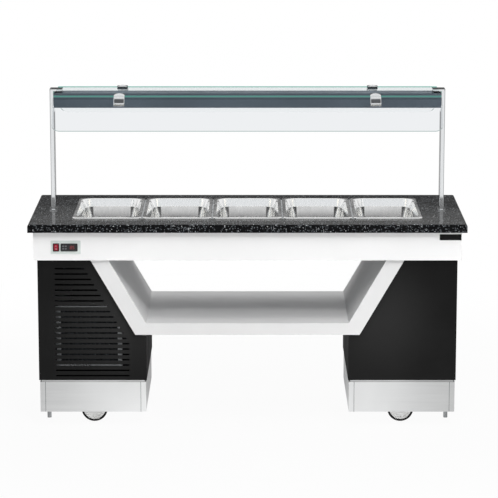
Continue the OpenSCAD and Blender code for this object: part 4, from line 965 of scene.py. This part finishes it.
# the canopy draws in by a hair, so that it shows cleanly through the glass that lies on it
canopyGap = {"drawIn": 0.0002}
shrink = nodes["canopy_housing"].modifiers.new("canopyGap", "DISPLACE")
shrink.mid_level = 0.0
shrink.strength = -canopyGap["drawIn"]


# camera, at the place the picture was taken from

cameraSet = {"place": (0.0075, -11.915, 3.186), "downTilt": 11.342, "lens": 181.25, "sensor": 36.0,
             "farClip": 200.0}
cameraData = bpy.data.cameras.new("pictureCamera")
cameraData.lens = cameraSet["lens"]
cameraData.sensor_width = cameraSet["sensor"]
cameraData.clip_end = cameraSet["farClip"]
camera = bpy.data.objects.new("pictureCamera", cameraData)
camera.location = cameraSet["place"]
camera.rotation_euler = (math.radians(90 - cameraSet["downTilt"]), 0, 0)
scene.collection.objects.link(camera)
scene.camera = camera


# studio light: a small key box and a wide one high in front, weaker ones on the right and low, one behind

lampSet = [
    {"name": "keyBox", "place": (1.8, -6.0, 6.2), "aim": (0, 0, 0.7), "size": 1.2, "power": 202.0},
    {"name": "topBox", "place": (0.6, -3.0, 6.4), "aim": (0, -0.3, 0.6), "size": 3.0, "power": 165.0},
    {"name": "rightBox", "place": (4.6, -4.6, 1.0), "aim": (0, 0, 0.7), "size": 1.5, "power": 28.0},
    {"name": "lowBox", "place": (0, -7.0, 0.25), "aim": (0, 0, 0.1), "size": 0.8, "power": 104.0},
    {"name": "backBox", "place": (0, 3.4, 6.2), "aim": (0, 0.3, 0.6), "size": 3.0, "power": 150.0},
]
for lamp in lampSet:
    lampData = bpy.data.lights.new(lamp["name"], "AREA")
    lampData.shape = "SQUARE"
    lampData.size = lamp["size"]
    lampData.energy = lamp["power"]
    lampObject = bpy.data.objects.new(lamp["name"], lampData)
    lampObject.location = lamp["place"]
    aim = Vector(lamp["aim"]) - Vector(lamp["place"])
    lampObject.rotation_euler = aim.to_track_quat("-Z", "Y").to_euler()
    lampObject.visible_camera = False
    lampObject.visible_glossy = False
    lampObject.visible_transmission = False
    scene.collection.objects.link(lampObject)


# room round the unit; each pair says where a change starts and where it is complete

plainWhite = (1, 1, 1, 1)
room = {"leftLight": 0.14, "rightLight": 0.54, "lightTurn": 0.7, "wall": 0.1, "ceiling": 1.0,
        "ahead": (0.4, 0.1), "front": 0.05, "frontLow": 0.85, "frontRise": 0.22, "band": (0.25, 0.3),
        "beside": (0.25, 0.65), "side": 0.05, "sideRise": 0.06, "corner": (0.0, -0.3),
        "above": (0.18, 0.28), "level": (0.12, 0.08)}


def makeRoom(look):
    # the eye sees plain white, dull faces get more light from the right than from the left,
    # and polished faces see a bright band low in front, dark walls and a white ceiling
    world = bpy.data.worlds.new("studioRoom")
    world.use_nodes = True
    scene.world = world
    tree = world.node_tree
    white = put(tree, "Background", {"Color": plainWhite, "Strength": 1.0})
    toward = splitAxes(tree, put(tree, "TexCoord").outputs["Generated"])
    share = spread(tree, toward["X"], -look["lightTurn"], look["lightTurn"],
                   look["leftLight"], look["rightLight"])
    light = put(tree, "Background", {"Color": plainWhite, "Strength": share})
    ahead = spread(tree, toward["Y"], *look["ahead"])
    beside = product(tree, spread(tree, absolute(tree, toward["X"]), *look["beside"]),
                     spread(tree, toward["Y"], *look["corner"]))
    wall = spread(tree, toward["Z"], *look["band"], look["frontLow"], look["front"])
    wall = spread(tree, ahead, 0.0, 1.0, look["wall"], wall)
    wall = spread(tree, beside, 0.0, 1.0, wall, look["side"])
    height = calc(tree, "SUBTRACT", toward["Z"], product(tree, beside, look["sideRise"]))
    height = calc(tree, "SUBTRACT", height, product(tree, ahead, look["frontRise"]))
    above = spread(tree, height, *look["above"])
    grey = blendColour(tree, above, wall, [look["ceiling"]] * 3 + [1])
    mirrored = put(tree, "Background", {"Color": grey, "Strength": 1.0})
    path = put(tree, "LightPath").outputs
    bounced = calc(tree, "MAXIMUM", path["Is Glossy Ray"], path["Is Transmission Ray"])
    glossy = blendShader(tree, bounced, light, mirrored)
    through = product(tree, path["Is Transmission Ray"], spread(tree, toward["Z"], *look["level"]))
    shown = blendShader(tree, calc(tree, "MAXIMUM", path["Is Camera Ray"], through), glossy, white)
    feed(tree, tree.nodes["World Output"].inputs["Surface"], shown.outputs[0])


makeRoom(room)

floorSet = {"half": 60.0, "cells": 8, "below": 0.0005, "paint": "#c8c8c8", "lift": 0.95, "fade": (1.4, 3.2),
            "side": (1.6, 4.5), "sideGrey": (0.4, 0.4, 0.4, 1), "behind": (-0.2, 0.35),
            "patch": (0.5, 1.6), "close": (-5.0, -3.5)}


def makeFloor(look):
    # the shadow is kept near the unit and fades into plain white further out
    material = bpy.data.materials.new("studioFloor")
    material.use_nodes = True
    tree = material.node_tree
    tree.nodes.remove(tree.nodes["Principled BSDF"])
    paint = put(tree, "BsdfDiffuse", {"Color": tint(look["paint"])})
    # polished faces see a floor that darkens behind and to the sides, sooner at the unit than far in front
    rest = restPlace(tree)
    at = splitAxes(tree, rest)
    apart = absolute(tree, at["X"])
    beside = spread(tree, apart, *look["side"])
    patch = product(tree, spread(tree, apart, *look["patch"]), spread(tree, at["Y"], *look["close"]))
    dark = calc(tree, "MAXIMUM", beside, patch)
    dark = calc(tree, "MAXIMUM", dark, spread(tree, at["Y"], *look["behind"]))
    path = put(tree, "LightPath").outputs
    mirrored = calc(tree, "SUBTRACT", path["Is Glossy Ray"], path["Is Transmission Ray"])
    shade = blendColour(tree, product(tree, mirrored, dark), plainWhite, look["sideGrey"])
    white = put(tree, "Emission", {"Color": shade, "Strength": 1.0})
    away = vectorCalc(tree, "LENGTH", rest)["Value"]
    lift = spread(tree, away, *look["fade"], look["lift"], 1.0)
    seen = calc(tree, "MAXIMUM", path["Is Camera Ray"], path["Is Transmission Ray"])
    seen = calc(tree, "MAXIMUM", seen, path["Is Glossy Ray"])
    mixed = blendShader(tree, product(tree, seen, lift), paint, white)
    feed(tree, tree.nodes["Material Output"].inputs["Surface"], mixed.outputs[0])
    bm = bmesh.new()
    bmesh.ops.create_grid(bm, x_segments=look["cells"], y_segments=look["cells"], size=look["half"])
    mesh = bpy.data.meshes.new("studioFloor")
    bm.to_mesh(mesh)
    bm.free()
    mesh.materials.append(material)
    floor = bpy.data.objects.new("studioFloor", mesh)
    floor.location.z = cadLow.z - look["below"]
    scene.collection.objects.link(floor)


makeFloor(floorSet)
print("camera, lamps, room and floor ready")
